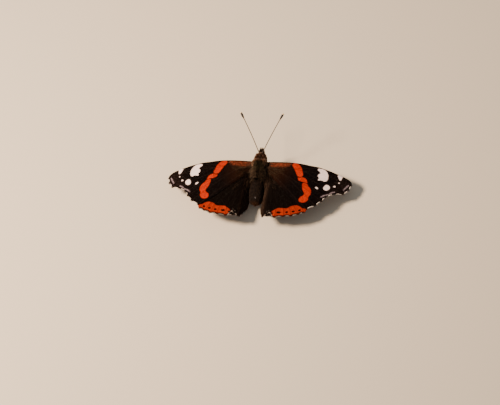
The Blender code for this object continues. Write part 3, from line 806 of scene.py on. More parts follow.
# %% The shape of one continuous skin
SKIN_RINGS = 190
SKIN_SIDES = 72
COAT_DEPTH = 0.26
CHEST = {"centre": (-0.55, 0.0), "reach": (3.8, 2.7, 2.45), "full": 2.6}
HEAD = {"centre": (4.0, 0.35), "reach": (1.25, 1.55, 1.4), "full": 2.3}
NECK = {"centre": (3.0, 0.2), "reach": (1.5, 2.1, 1.5), "full": 3.0}
WAIST = {"centre": (-4.0, -0.15), "reach": (1.5, 1.5, 1.35), "full": 4.0}
TAIL_START = -3.7
TAIL_STOP = -14.15
TAIL_HALF = (2.72, 2.3)
TAIL_DROOP = 0.6
SEGMENTS = 8


def part_at(part, along):
    """Half-width, half-height and middle of one rounded part at these stations."""
    centre, level = part["centre"]
    length, wide, high = part["reach"]
    share = np.clip(np.abs(along - centre) / length, 0.0, 1.0)
    swell = np.clip(1.0 - share ** part["full"], 0.0, None) ** (1.0 / part["full"])
    return swell * wide, swell * high, np.full(len(along), level)


def tail_at(along):
    """The abdomen swells behind the waist, keeps its width and ends bluntly."""
    share = np.clip((along - TAIL_START) / (TAIL_STOP - TAIL_START), 0.0, 1.0)
    front = 0.62 + 0.38 * np.sin(np.clip(share / 0.5, 0.0, 1.0) * math.pi / 2)
    taper = 1.0 - 0.14 * np.clip((share - 0.5) / 0.5, 0.0, 1.0) ** 2
    blunt = np.sqrt(np.clip(1.0 - np.clip((share - 0.8) / 0.2, 0.0, 1.0) ** 2.2, 0.0, 1.0))
    begun = np.sqrt(np.clip(share / 0.06, 0.0, 1.0))
    swell = front * taper * blunt * begun
    return swell * TAIL_HALF[0], swell * TAIL_HALF[1], -TAIL_DROOP * share ** 2


def soft_most(values, sharp=9.0):
    return np.sum(np.stack(values) ** sharp, axis=0) ** (1.0 / sharp)


def segment_step(along):
    """Each ring of the abdomen widens backwards and ends in a small step."""
    share = (along - TAIL_START) / (TAIL_STOP - TAIL_START)
    within_one = (share * SEGMENTS) % 1.0
    rise = within_one ** 1.5 * (1.0 - np.clip((within_one - 0.9) / 0.1, 0.0, 1.0))
    on_tail = np.clip((share - 0.06) / 0.05, 0.0, 1.0) * np.clip((0.97 - share) / 0.05, 0.0, 1.0)
    return 1.0 + 0.05 * (rise - 0.5) * on_tail


def skin_places():
    """Rings of places from the face to the tip of the abdomen, in the body's frame."""
    front = HEAD["centre"][0] + HEAD["reach"][0] - COAT_DEPTH * 0.6
    back = TAIL_STOP + COAT_DEPTH * 0.7
    turn = np.linspace(0.0, math.pi, SKIN_RINGS)
    ease = 0.5 - 0.5 * np.cos(turn)
    share = 0.55 * ease + 0.45 * np.linspace(0.0, 1.0, SKIN_RINGS)
    along = front + (back - front) * share
    inner = along.copy()
    parts = [part_at(part, inner) for part in (CHEST, HEAD, NECK, WAIST)] + [tail_at(inner)]
    wide = soft_most([np.clip(part[0], 1e-3, None) for part in parts])
    high = soft_most([np.clip(part[1], 1e-3, None) for part in parts])
    weight = np.stack([np.clip(part[1], 1e-3, None) ** 4 for part in parts])
    level = np.sum(weight * np.stack([part[2] for part in parts]), axis=0) / weight.sum(axis=0)
    step = segment_step(along)
    ends = np.clip(np.minimum(front - along, along - back) / 0.5, 0.0, 1.0) ** 0.5
    thin = COAT_DEPTH * (1.0 - np.clip((along + 3.7) / -1.0, 0.0, 1.0) * 0.35)
    wide = np.clip(wide * step - thin, 0.02, None) * ends
    high = np.clip(high * step - thin, 0.02, None) * ends
    around = np.linspace(0.0, 2 * math.pi, SKIN_SIDES, endpoint=False) - math.pi / 2
    x = np.cos(around)[None, :] * wide[:, None]
    z = np.sin(around)[None, :] * high[:, None] + level[:, None]
    y = np.repeat(along[:, None], SKIN_SIDES, axis=1)
    return np.stack([x, y, z], axis=2)


def lumps(places):
    """The shoulder plates over the forewings' roots, the pit behind each, and the face."""
    x, y, z = places[..., 0], places[..., 1], places[..., 2]
    across = np.abs(x)
    shoulder = np.exp(-((across - 2.1) ** 2 + (y - 2.1) ** 2 + (z - 1.0) ** 2) / 1.6)
    plate = np.exp(-((across - 2.2) / 0.5) ** 2 - ((y - 1.9) / 0.8) ** 2 - ((z - 1.2) / 0.7) ** 2)
    pit = np.exp(-((across - 2.3) / 0.3) ** 2 - ((y - 0.7) / 0.3) ** 2 - ((z - 1.3) / 0.6) ** 2)
    groove = np.exp(-((y + 2.1) / 0.35) ** 2) * np.clip(z, 0.0, 1.0)
    brow = np.exp(-((y - 4.6) / 0.5) ** 2 - (x / 0.5) ** 2) * (z > 0.4)
    away = places.copy()
    away[..., 1] *= 0.0
    away /= np.linalg.norm(away, axis=-1)[..., None] + 1e-6
    moved = places + away * (0.12 * plate - 0.3 * pit - 0.12 * groove + 0.1 * brow)[..., None]
    moved[..., 0] += np.sign(x) * 0.42 * shoulder
    moved[..., 2] += 0.42 * shoulder
    return moved


def tube_faces(rings, sides, closed=True):
    """Quads between rings that follow each other, and a fan at each end."""
    faces = []
    for ring in range(rings - 1):
        for side in range(sides):
            other = (side + 1) % sides
            faces.append((ring * sides + side, (ring + 1) * sides + side,
                          (ring + 1) * sides + other, ring * sides + other))
    first, last = rings * sides, rings * sides + 1
    for side in range(sides):
        other = (side + 1) % sides
        faces.append((first, side, other))
        faces.append((last, (rings - 1) * sides + other, (rings - 1) * sides + side))
    return faces


def tube_of(rings):
    """Places and faces of a closed tube through rings of places."""
    count, sides, _ = rings.shape
    ends = [rings[0].mean(axis=0), rings[-1].mean(axis=0)]
    return np.concatenate([rings.reshape(-1, 3), ends]), tube_faces(count, sides)


def tube_map(rings, sides, low, high):
    """For every corner of such a tube, a place in an unwrap from the low to the high corner."""
    spots = []

    def spot(side, ring):
        across = low[0] + (high[0] - low[0]) * side / sides
        up = low[1] + (high[1] - low[1]) * (ring + 1) / (rings + 1)
        return across, up

    for ring in range(rings - 1):
        for side in range(sides):
            spots += [spot(side, ring), spot(side, ring + 1), spot(side + 1, ring + 1), spot(side + 1, ring)]
    for side in range(sides):
        spots += [spot(side + 0.5, -1), spot(side, 0), spot(side + 1, 0)]
        spots += [spot(side + 0.5, rings), spot(side + 1, rings - 1), spot(side, rings - 1)]
    return spots


def walk(line):
    """How far along a line each of its points is."""
    return np.concatenate([[0.0], np.cumsum(np.linalg.norm(np.diff(line, axis=0), axis=1))])


def limb_rings(knots, radii, spacing=0.12, sides=14):
    """Rings round a smooth line, with radii given at its knots."""
    line = smooth_line(knots, spacing)
    walked = walk(line)
    marks = walk(np.array(knots, float))
    radius = np.interp(walked / walked[-1], marks / marks[-1], radii)
    ways = np.gradient(line, axis=0)
    ways /= np.linalg.norm(ways, axis=1)[:, None]
    side = [np.array((1.0, 0.0, 0.0)) if abs(ways[0][0]) < 0.9 else np.array((0.0, 1.0, 0.0))]
    for way in ways:
        across = side[-1] - way * (side[-1] @ way)
        side.append(across / np.linalg.norm(across))
    side = np.array(side[1:])
    over = np.cross(side, ways)
    around = np.linspace(0.0, 2 * math.pi, sides, endpoint=False)
    spread = np.cos(around)[None, :, None] * side[:, None] + np.sin(around)[None, :, None] * over[:, None]
    return line[:, None] + spread * radius[:, None, None]


print("skin rings:", SKIN_RINGS, "of", SKIN_SIDES)

# %% One object for the skin, with the palps sunk into the face
PALP = [(0.54, 4.1, -0.5), (0.55, 5.2, -0.4), (0.48, 6.1, -0.05), (0.34, 6.98, 0.45)]
PALP_RADII = (0.36, 0.43, 0.38, 0.12)


def pieces_mesh(name, parts, matrix, split=0.82):
    """One mesh from several closed tubes, the first with its own share of the bake map."""
    places, faces, spots, ways, walked = [], [], [], [], []
    offset = 0
    for number, rings in enumerate(parts):
        own_places, own_faces = tube_of(rings)
        count, sides, _ = rings.shape
        if number == 0:
            low, high = (0.01, 0.01), (split if len(parts) > 1 else 0.99, 0.99)
        else:
            share = (0.98 - split) / (len(parts) - 1)
            low = (split + 0.01 + share * (number - 1), 0.02)
            high = (low[0] + share * 0.9, 0.98)
        along = np.gradient(rings.mean(axis=1), axis=0)
        along = np.repeat(along[:, None], sides, axis=1).reshape(-1, 3)
        ways.append(np.concatenate([along, along[:1], along[-1:]]))
        far = walk(rings.mean(axis=1))
        walked.append(np.concatenate([np.repeat(far, sides), [far[0], far[-1]]]))
        faces += [tuple(corner + offset for corner in face) for face in own_faces]
        spots += tube_map(count, sides, low, high)
        places.append(own_places)
        offset += len(own_places)
    places = np.concatenate(places)
    ways = np.concatenate(ways)
    ways /= np.linalg.norm(ways, axis=1)[:, None] + 1e-9
    mesh = mesh_of(name, places, faces, matrix)
    layer = mesh.uv_layers.new(name="OFBake")
    layer.data.foreach_set("uv", np.array(spots, np.float32).ravel())
    store(mesh, "spot", places, "FLOAT_VECTOR", "vector")
    store(mesh, "along", np.concatenate(walked))
    return mesh, places, ways


def outward(mesh):
    """Every closed part of the mesh with its faces turned outwards."""
    work = bmesh.new()
    work.from_mesh(mesh)
    bmesh.ops.recalc_face_normals(work, faces=work.faces)
    work.to_mesh(mesh)
    work.free()


def mirrored(knots):
    return [(-x, y, z) for x, y, z in knots]


skin_parts = [lumps(skin_places()), limb_rings(PALP, PALP_RADII), limb_rings(mirrored(PALP), PALP_RADII)]
skin_mesh, skin_spots, skin_ways = pieces_mesh("body_skin", skin_parts, BODY)
outward(skin_mesh)
print("skin:", len(skin_mesh.polygons), "faces")

# %% [markdown]
# ## The colours of the body
# Skin and hair read the same place in the body's frame, so they always agree. The head is rusty
# brown, a paler collar follows, the chest is dark olive brown with a warm shine, and the abdomen
# is nearly black with a brown tip. The underside is greyer and paler than the back.

# %% Materials of the skin and the hair
HEAD_BROWN = srgb(68, 38, 22)
PALP_BROWN = srgb(44, 26, 16)
COLLAR = srgb(108, 70, 44)
COLLAR_PALE = srgb(158, 122, 102)
CHEST_OLIVE = srgb(52, 43, 25)
CHEST_BACK = srgb(42, 28, 18)
CHEST_BROWN = srgb(26, 16, 9)
SHOULDER_TAN = srgb(96, 66, 46)
# Used both for random dark mottling and for painted shade in the shoulder pits and at the waist.
MOTTLE_AND_SHADE_BLACK = srgb(8, 5, 4)
TAIL_DARK = srgb(22, 13, 9)
TAIL_TIP = srgb(66, 36, 18)
FLECK = srgb(176, 164, 156)
BELLY = srgb(112, 94, 76)


def near(across, along, reach):
    """A soft round spot: 1 in its middle and 0 beyond its reach."""
    return (across ** 2.0 + along ** 2.0).step(reach * reach, reach * reach * 0.2)


def body_colour(finish):
    """The colour at each place of the body, for its skin and for the root of each hair."""
    x, y, z = (finish.add("ShaderNodeSeparateXYZ", {}, finish.field("spot", "Vector"), out=axis)
               for axis in "XYZ")
    uneven = finish.noise(finish.field("spot", "Vector"), 1.3) - 0.5
    y = y + uneven * 0.5
    across = x.alone("ABSOLUTE") + uneven * 0.4
    colour = finish.mix(y.step(0.4, -1.2), CHEST_OLIVE, CHEST_BACK)
    colour = finish.mix(across.step(0.8, 2.1), colour, CHEST_BROWN)
    colour = finish.mix(uneven.step(0.0, 0.3) * 0.5, colour, MOTTLE_AND_SHADE_BLACK)
    plate = near((across - 1.9) * 1.3 + (y - 1.9) * 0.5, y - 1.9, 1.2)
    colour = finish.mix(plate * (uneven + 0.8), colour, SHOULDER_TAN)
    # Painted shade: a near-black spot in the pit behind each shoulder plate.
    colour = finish.mix(near(across - 2.15, y - 0.7, 0.5), colour, MOTTLE_AND_SHADE_BLACK)
    colour = finish.mix(y.step(-3.7, -4.3), colour, TAIL_DARK)
    # Painted shade: a near-black spot across the waist, where the chest and the abdomen meet.
    colour = finish.mix(near(across * 0.5, y + 4.3, 0.7), colour, MOTTLE_AND_SHADE_BLACK)
    colour = finish.mix(y.step(-12.6, -13.6) * (uneven * 2.5 + 0.6), colour, TAIL_TIP)
    share = (y - TAIL_START) * (SEGMENTS / (TAIL_STOP - TAIL_START))
    edge = share.alone("FRACT").step(0.86, 0.99) * y.step(-4.4, -5.2)
    colour = finish.mix(edge * 0.4, colour, TAIL_TIP)
    colour = finish.mix(near(x - 0.2, y + 11.9, 0.22) * z.step(0.5, 1.0), colour, FLECK)
    colour = finish.mix(y.step(2.1, 2.5), colour, COLLAR)
    colour = finish.mix(y.step(2.7, 2.9) * (uneven + 0.6), colour, COLLAR_PALE)
    colour = finish.mix(y.step(3.2, 3.4), colour, HEAD_BROWN)
    colour = finish.mix(y.step(5.3, 5.8), colour, PALP_BROWN)
    colour = finish.mix(near(across, y - 4.9, 0.5) * 0.7, colour, COLLAR_PALE)
    return finish.mix(z.step(-0.5, -1.5) * 0.8, colour, BELLY)


skin_finish = Finish("body skin", 0.7, Specular_IOR_Level=0.08)
skin_finish.paint(skin_finish.mix(0.45, body_colour(skin_finish), (0.0, 0.0, 0.0)))
skin_finish.bump(skin_finish.cells(skin_finish.field("spot", "Vector"), 9.0), 0.03, 0.5)
skin = new_object("body_skin", skin_mesh, skin_finish.material)
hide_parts("thorax", "abdomen", "head", "palp_left", "palp_right")
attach(skin, "root")
print("skin is on")

# %% [markdown]
# ## The coat
# Every hair and scale here is one thin tapered blade, and one tree of nodes places them all. It
# scatters points over a patch of skin, turns a blade at each point to lie along the coat, bends
# it over, and gives it its own length and shade. A patch says how thick, how long and which way
# its coat lies through values stored at its points. Each blade also gets a tiny place of its own
# in the bake map, where its root stands on the skin.

# %% A tree that grows blades on a patch of skin
BLADE_POINTS = 5
BLADE_FLAT = 0.5
BAKE_PATCH = 0.003


class Grove:
    """A tree of geometry nodes, with one method that adds a node and joins its inputs."""

    def __init__(self, name, inputs):
        self.tree = bpy.data.node_groups.new(name, "GeometryNodeTree")
        self.tree.is_modifier = True
        face = self.tree.interface
        face.new_socket("Geometry", in_out="INPUT", socket_type="NodeSocketGeometry")
        face.new_socket("Geometry", in_out="OUTPUT", socket_type="NodeSocketGeometry")
        self.keys = {}
        for label, kind in inputs.items():
            socket = face.new_socket(label, in_out="INPUT", socket_type="NodeSocket" + kind)
            self.keys[label] = socket.identifier
        self.given = self.tree.nodes.new("NodeGroupInput").outputs
        self.result = self.tree.nodes.new("NodeGroupOutput").inputs[0]

    def add(self, kind, settings, *values, out=0, **named):
        node = self.tree.nodes.new(kind)
        for setting, value in settings.items():
            setattr(node, setting, value)
        sockets = [socket for socket in node.inputs if socket.enabled]
        pairs = list(zip(sockets, values))
        for name, value in named.items():
            pairs.append((next(s for s in sockets if s.name == name.replace("_", " ")), value))
        for socket, value in pairs:
            if isinstance(value, bpy.types.NodeSocket):
                self.tree.links.new(value, socket)
            elif value is not None:
                socket.default_value = value
        if isinstance(out, str):
            return node.outputs[out]
        return [socket for socket in node.outputs if socket.enabled][out]

    def sum_with(self, operation, *values):
        return self.add("ShaderNodeMath", {"operation": operation}, *values)

    def vector(self, operation, *values, out=0):
        return self.add("ShaderNodeVectorMath", {"operation": operation}, *values, out=out)

    def scaled(self, vector, factor):
        return self.add("ShaderNodeVectorMath", {"operation": "SCALE"}, Vector=vector, Scale=factor)

    def stored(self, name, kind="FLOAT"):
        return self.add("GeometryNodeInputNamedAttribute", {"data_type": kind}, name)

    def keep(self, geometry_in, name, value, kind="FLOAT", domain="POINT"):
        settings = {"data_type": kind, "domain": domain}
        return self.add("GeometryNodeStoreNamedAttribute", settings, geometry_in, Name=name, Value=value)

    def chance(self, low, high, seed, kind="FLOAT"):
        return self.add("FunctionNodeRandomValue", {"data_type": kind}, low, high, Seed=seed)


def blade_in(grove):
    """One blade that stands up from its root, three-sided, thin and bent over at the tip."""
    line = grove.add("GeometryNodeCurvePrimitiveLine", {"mode": "POINTS"}, (0, 0, 0), (0, 0, 1))
    line = grove.add("GeometryNodeResampleCurve", {}, line, Count=BLADE_POINTS)
    share = grove.add("GeometryNodeSplineParameter", {})
    slender = grove.sum_with("DIVIDE", grove.given["Length"], grove.given["Width"])
    bend = grove.sum_with("MULTIPLY", grove.sum_with("MULTIPLY", slender, grove.given["Curl"]), -1.0)
    bend = grove.sum_with("MULTIPLY", bend, grove.sum_with("POWER", share, 2.0))
    line = grove.add("GeometryNodeSetPosition", {}, line, Offset=grove.add("ShaderNodeCombineXYZ", {}, 0.0, bend))
    taper = grove.sum_with("SUBTRACT", 1.04, grove.sum_with("POWER", share, 1.7))
    line = grove.add("GeometryNodeSetCurveRadius", {}, line, Radius=taper)
    ring = grove.add("GeometryNodeCurvePrimitiveCircle", {"mode": "RADIUS"}, 3, Radius=1.0)
    ring = grove.add("GeometryNodeTransform", {}, ring, Scale=(1.0, BLADE_FLAT, 1.0))
    blade = grove.add("GeometryNodeCurveToMesh", {}, line, ring, Fill_Caps=True)
    place = grove.add("GeometryNodeInputPosition", {})
    x, y, z = (grove.add("ShaderNodeSeparateXYZ", {}, place, out=axis) for axis in "XYZ")
    blade = grove.keep(blade, "rise", z)
    around = grove.sum_with("DIVIDE", grove.sum_with("ARCTAN2", y, x), 2 * math.pi)
    patch = grove.add("ShaderNodeCombineXYZ", {}, around, grove.sum_with("SUBTRACT", z, 0.5))
    return grove.keep(blade, "patch", patch, "FLOAT_VECTOR")


def coat_tree():
    grove = Grove("coat", {"Spacing": "Float", "Length": "Float", "Width": "Float", "Lift": "Float",
                           "Curl": "Float", "Mess": "Float", "Seed": "Int", "Material": "Material"})
    given = grove.given
    scatter = {"distribute_method": "POISSON"}
    density = grove.sum_with("DIVIDE", 0.9, grove.sum_with("MULTIPLY", given["Spacing"], given["Spacing"]))
    points = grove.add("GeometryNodeDistributePointsOnFaces", scatter, given["Geometry"],
                       Distance_Min=given["Spacing"], Density_Max=density,
                       Density_Factor=grove.stored("cover"), Seed=given["Seed"])
    normal = points.node.outputs["Normal"]
    points = grove.keep(points, "tint", grove.chance(0.0, 1.0, 3))
    stray = grove.chance((-1, -1, -1), (1, 1, 1), 5, "FLOAT_VECTOR")
    stray = grove.scaled(stray, given["Mess"])
    raised = grove.scaled(normal, grove.sum_with("MULTIPLY", given["Lift"], grove.stored("raise")))
    way = grove.vector("ADD", grove.vector("ADD", grove.stored("flow", "FLOAT_VECTOR"), raised), stray)
    turn = grove.add("FunctionNodeAlignRotationToVector", {"axis": "Z"}, Vector=way)
    settings = {"axis": "Y", "pivot_axis": "Z"}
    turn = grove.add("FunctionNodeAlignRotationToVector", settings, Rotation=turn, Vector=normal)
    tall = grove.sum_with("MULTIPLY", given["Length"], grove.stored("long"))
    tall = grove.sum_with("MULTIPLY", tall, grove.chance(0.65, 1.0, 7))
    size = grove.add("ShaderNodeCombineXYZ", {}, given["Width"], given["Width"], tall)
    blades = grove.add("GeometryNodeInstanceOnPoints", {}, points, Instance=blade_in(grove),
                       Rotation=turn, Scale=size)
    blades = grove.add("GeometryNodeRealizeInstances", {}, blades)
    spread = grove.scaled(grove.stored("patch", "FLOAT_VECTOR"), BAKE_PATCH)
    spot = grove.vector("ADD", grove.stored("OFBake", "FLOAT_VECTOR"), spread)
    blades = grove.keep(blades, "OFBake", spot, "FLOAT2", "CORNER")
    blades = grove.add("GeometryNodeSetMaterial", {}, blades, Material=given["Material"])
    grove.tree.links.new(blades, grove.result)
    return grove


coat = coat_tree()
print("coat tree:", len(coat.tree.nodes), "nodes")

# %% [markdown]
# ## Hair on the body
# The chest wears long soft hair that lies backwards, the abdomen short flat scales, and the head
# a brush that turns forward over the face. All three grow on copies of the one skin, each where
# its own share of the cover is high, so they mix where they meet.

# %% Grow the coat of the body
SPARE = ("flow", "long", "raise", "cover", "patch")


def ramp(values, low, high):
    """A straight rise from 0 at low to 1 at high, or a fall where low is above high."""
    return np.clip((values - low) / (high - low), 0.0, 1.0)


def grow(name, patch, finish, slot, seed, **sizes):
    """One piece of coat: every blade of the tree, kept as a plain mesh."""
    piece = new_object(name, patch, None)
    maker = piece.modifiers.new("coat", "NODES")
    maker.node_group = coat.tree
    lengths = ("Spacing", "Length", "Width")
    for label, value in sizes.items():
        maker[coat.keys[label]] = value * MM if label in lengths else value
    maker[coat.keys["Seed"]] = seed
    maker[coat.keys["Material"]] = finish.material
    view = bpy.context.evaluated_depsgraph_get()
    blades = bpy.data.meshes.new_from_object(piece.evaluated_get(view))
    piece.modifiers.clear()
    piece.data = blades
    for spare in SPARE:
        blades.attributes.remove(blades.attributes[spare])
    blades.uv_layers.active = blades.uv_layers["OFBake"]
    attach(piece, "root")
    print(name, len(blades.polygons), "faces")
    return piece


def patch_from(mesh, cover, long, lift, flow):
    """A copy of a skin with the values that its coat needs."""
    patch = mesh.copy()
    for field, values in (("cover", cover), ("long", long), ("raise", lift)):
        store(patch, field, values)
    store(patch, "flow", flow, "FLOAT_VECTOR", "vector")
    return patch


def turned(ways, matrix):
    """Directions of one frame, given in the frame of the finished scene."""
    return ways @ np.array(matrix.to_3x3()).T


def body_flow():
    """Backwards over chest and abdomen, forward over the face, out along the palps."""
    rings = skin_parts[0]
    back = np.gradient(rings, axis=0)
    back /= np.linalg.norm(back, axis=2)[:, :, None] + 1e-9
    flow = np.concatenate([back.reshape(-1, 3), [(0, 1, 0)], [(0, -1, 0)]])
    flow = np.concatenate([flow, skin_ways[len(flow):]])
    y = skin_spots[:, 1]
    across = np.abs(skin_spots[:, 0])
    stream = ramp(across, 0.9, 2.2) * ramp(y, 1.5, -1.0) * ramp(y, -5.0, -3.8)
    flow[:, 0] += 0.55 * np.sign(skin_spots[:, 0]) * stream
    face = ramp(y, 3.8, 4.5)[:, None] * (np.arange(len(y)) < rings.shape[0] * rings.shape[1] + 2)[:, None]
    flow = flow * (1.0 - 2.0 * face) + (0.0, 0.5, 0.15) * face
    flow[:, 1] -= 0.8 * ramp(y, -13.4, -14.2)
    return turned(flow, BODY)


def hair(name, colour_of, bright=1.0, rough=0.62, shade=0.75):
    """A hair material: painted shade darkens each hair towards its root, each hair in its own tint."""
    finish = Finish(name, rough, Specular_IOR_Level=0.03)
    colour = colour_of(finish)
    tint = finish.field("tint")
    light = finish.mix(tint * 0.2 * bright, colour, (0.22, 0.13, 0.07))
    # Painted shade: each hair is darkened towards its root, by the share given as shade, for the shade deep in
    # the coat.
    dark = finish.mix((0.75 - finish.field("rise")).step(0.0, 1.0) * shade, light, (0.0, 0.0, 0.0))
    finish.paint(finish.mix(tint.step(0.35, 0.0) * 0.5, dark, (0.0, 0.0, 0.0)))
    return finish


on_body = len(tube_of(skin_parts[0])[0])
is_palp = np.arange(len(skin_spots)) >= on_body
body_y = skin_spots[:, 1]
body_top = np.clip(skin_spots[:, 2], 0.0, 1.0)
body_lies = body_flow()
hair_finish = hair("body hair", body_colour)
tail_finish = hair("abdomen scales", body_colour, 0.5, 0.5)

chest_cover = ramp(body_y, 3.3, 2.8) * ramp(body_y, -5.0, -4.1) * ~is_palp
pit_far = np.hypot(np.abs(skin_spots[:, 0]) - 2.15, body_y - 0.7)
chest_cover *= ramp(pit_far, 0.3, 0.6)
chest_side = ramp(np.abs(skin_spots[:, 0]), 1.2, 2.2) * ramp(body_y, 0.5, -1.0)
chest_long = 0.6 + 0.3 * ramp(body_y, 2.2, 0.5) + 0.15 * ramp(body_y, -1.5, -3.5) + 0.5 * chest_side
chest_patch = patch_from(skin_mesh, chest_cover, chest_long, 1.0 + 0.3 * body_top, body_lies)
grow("coat_thorax", chest_patch, hair_finish, "body_hair", 21,
     Spacing=0.115, Length=1.25, Width=0.028, Lift=0.5, Curl=0.2, Mess=0.22)
head_cover = np.maximum(ramp(body_y, 2.7, 3.2), is_palp)
head_long = np.where(is_palp, 0.75, 1.0)
head_patch = patch_from(skin_mesh, head_cover, head_long, np.where(is_palp, 0.8, 1.2), body_lies)
grow("coat_head", head_patch, hair_finish, "body_hair", 22,
     Spacing=0.085, Length=0.62, Width=0.022, Lift=0.7, Curl=0.2, Mess=0.3)
tail_cover = ramp(body_y, -3.6, -4.4) * ~is_palp
tail_long = 1.0 + 0.5 * ramp(body_y, -13.0, -14.0)
tail_patch = patch_from(skin_mesh, tail_cover, tail_long, np.ones(len(body_y)), body_lies)
grow("coat_abdomen", tail_patch, tail_finish, "abdomen_scales", 23,
     Spacing=0.125, Length=0.5, Width=0.038, Lift=0.28, Curl=0.1, Mess=0.16)

# %% [markdown]
# ## Hair on the wings
# The chest's long hair runs on over the roots of the wings, and a band of it lines the fold
# beside the abdomen. It grows on the part of each wing's upper face that is near the body. The
# same tree lays the fringe: one row of scales along a narrow strip at the outer edge, white
# between the veins and dark where a vein ends.

# %% Hair over the roots of the wings
FORE_ROOT = (1.8, -0.9)
HIND_ROOT = (1.6, -3.6)


def fore_hair(flat):
    """Cover and direction of the hair on a forewing."""
    way = flat - FORE_ROOT
    far = np.linalg.norm(way, axis=1)
    root = ramp(far, 2.9, 1.9) * ramp(flat[:, 1], 0.5, 0.0)
    cover = np.maximum(ramp(far, 8.5, 2.5) * ramp(flat[:, 1], -0.9, -1.8), root)
    way[:, 1] = np.minimum(way[:, 1], 0.0)
    return cover, way / (far[:, None] + 0.3), 0.5 + 0.5 * ramp(far, 8.0, 2.5) - 0.3 * root


def hind_hair(flat):
    """The same on a hindwing, where the fold beside the abdomen is hairy down to the corner."""
    way = flat - HIND_ROOT
    far = np.linalg.norm(way, axis=1)
    fold = ramp(flat[:, 0], 5.2, 3.4) * ramp(flat[:, 1], -21.8, -19.5)
    cover = np.maximum(ramp(far, 10.0, 3.0) * 0.8, fold)
    way = way / (far[:, None] + 0.3) * (1.0 - fold[:, None]) + np.array((0.05, -1.0)) * fold[:, None]
    return cover, way, 0.5 + 0.5 * ramp(far, 9.0, 3.0)


def patch_of(parts):
    """One patch from several pieces of wing, each with its own quarter of the bake map."""
    mesh = bpy.data.meshes.new("patch")
    places = np.concatenate([part["places"] for part in parts])
    starts = np.cumsum([0] + [len(part["places"]) for part in parts])
    faces = [tuple(corner + start for corner in face) for part, start in zip(parts, starts)
             for face in part["faces"]]
    mesh.from_pydata([tuple(place) for place in places * MM], [], faces)
    for field in ("cover", "long"):
        store(mesh, field, np.concatenate([part[field] for part in parts]))
    store(mesh, "raise", np.ones(len(places)))
    for field in ("flow", "spot"):
        store(mesh, field, np.concatenate([part[field] for part in parts]), "FLOAT_VECTOR", "vector")
    spots = []
    for number, part in enumerate(parts):
        low = part["map"].min(axis=0)
        own = (part["map"] - low) / (part["map"].max(axis=0) - low + 1e-9)
        corner = np.array((number % 2, number // 2)) * 0.5 + 0.02
        spots.append(own * 0.46 + corner)
    corners = np.zeros(len(mesh.loops), int)
    mesh.loops.foreach_get("vertex_index", corners)
    layer = mesh.uv_layers.new(name="OFBake")
    layer.data.foreach_set("uv", np.concatenate(spots)[corners].astype(np.float32).ravel())
    return mesh


def on_wing(flat, up, side, faces, hair_at, kind):
    """A piece of a wing's upper face, put in its place on one side."""
    cover, way, long = hair_at(flat)
    mirror = np.array((side, 1.0, 1.0))
    matrix = np.array(WINGS)
    places = (np.column_stack([flat, up]) * mirror) @ matrix[:3, :3].T + matrix[:3, 3]
    flow = turned(np.column_stack([way, np.zeros(len(way))]) * mirror, WINGS)
    spot = np.column_stack([flat, np.full(len(flat), float(kind))])
    faces = faces if side > 0 else faces[:, ::-1]
    return {"places": places, "faces": faces, "cover": cover, "long": long, "flow": flow, "spot": spot,
            "map": flat}


def root_patch():
    parts = []
    for kind, sheet, height, hair_at in ((0, fore_sheet, fore_height, fore_hair),
                                         (1, hind_sheet, hind_height, hind_hair)):
        flat, faces, near = sheet
        upper, _ = two_faces(flat, near, height)
        kept = faces[(hair_at(flat)[0][faces] > 0).any(axis=1)]
        used, again = np.unique(kept, return_inverse=True)
        again = again.reshape(kept.shape)
        for side in (-1, 1):
            parts.append(on_wing(flat[used], upper[used, 2], side, again, hair_at, kind))
    return patch_of(parts)


def wing_hair_colour(finish):
    """Olive brown on the forewing and a warmer brown in the fold of the hindwing."""
    spot = finish.field("spot", "Vector")
    kind = finish.add("ShaderNodeSeparateXYZ", {}, spot, out="Z")
    uneven = finish.noise(spot, 0.8)
    fore = finish.mix(uneven, srgb(44, 30, 14), srgb(30, 16, 8))
    return finish.mix(kind, fore, srgb(32, 18, 10))


root_finish = hair("wing hair", wing_hair_colour, 0.6)
grow("coat_wing_roots", root_patch(), root_finish, "body_hair", 24,
     Spacing=0.17, Length=1.9, Width=0.022, Lift=0.12, Curl=0.1, Mess=0.14)

# %% The fringe of the outer edges


def fringe_part(edge, ends, height, side, depth, longs):
    """A narrow strip along the outer edge, with how far each place is from a vein's end."""
    inner = pulled_in(edge, depth + 0.1)
    outer = pulled_in(edge, depth - 0.03)
    flat = np.concatenate([inner, outer])
    count = len(edge)
    faces = np.array([(step, step + count, step + count + 1, step + 1) for step in range(count - 1)])
    way = np.tile(outer - inner, (2, 1))
    way /= np.linalg.norm(way, axis=1)[:, None]
    far = np.min([np.linalg.norm(np.tile(edge, (2, 1)) - end, axis=1) for end in ends], axis=0)

    def hair_at(_):
        return np.ones(len(flat)), way, longs[0] + (longs[1] - longs[0]) * ramp(far, 0.8, 0.2)

    part = on_wing(flat, height(flat), side, faces[:, ::-1], hair_at, 0)
    part["spot"][:, 2] = far
    part["map"] = np.column_stack([np.tile(walk(edge), 2), np.repeat((0.0, 1.0), count)])
    return part


def fringe_colour(finish):
    spot = finish.field("spot", "Vector")
    far = finish.add("ShaderNodeSeparateXYZ", {}, spot, out="Z")
    pale = (far + (finish.noise(spot, 3.0) - 0.5) * 0.4).step(0.65, 0.9)
    return finish.mix(pale, srgb(24, 15, 12), srgb(232, 210, 190))


def dull_fringe_colour(finish):
    """The hindwing's fringe is a dull tan between its dark ends."""
    return finish.mix(0.8, fringe_colour(finish), srgb(46, 28, 18))


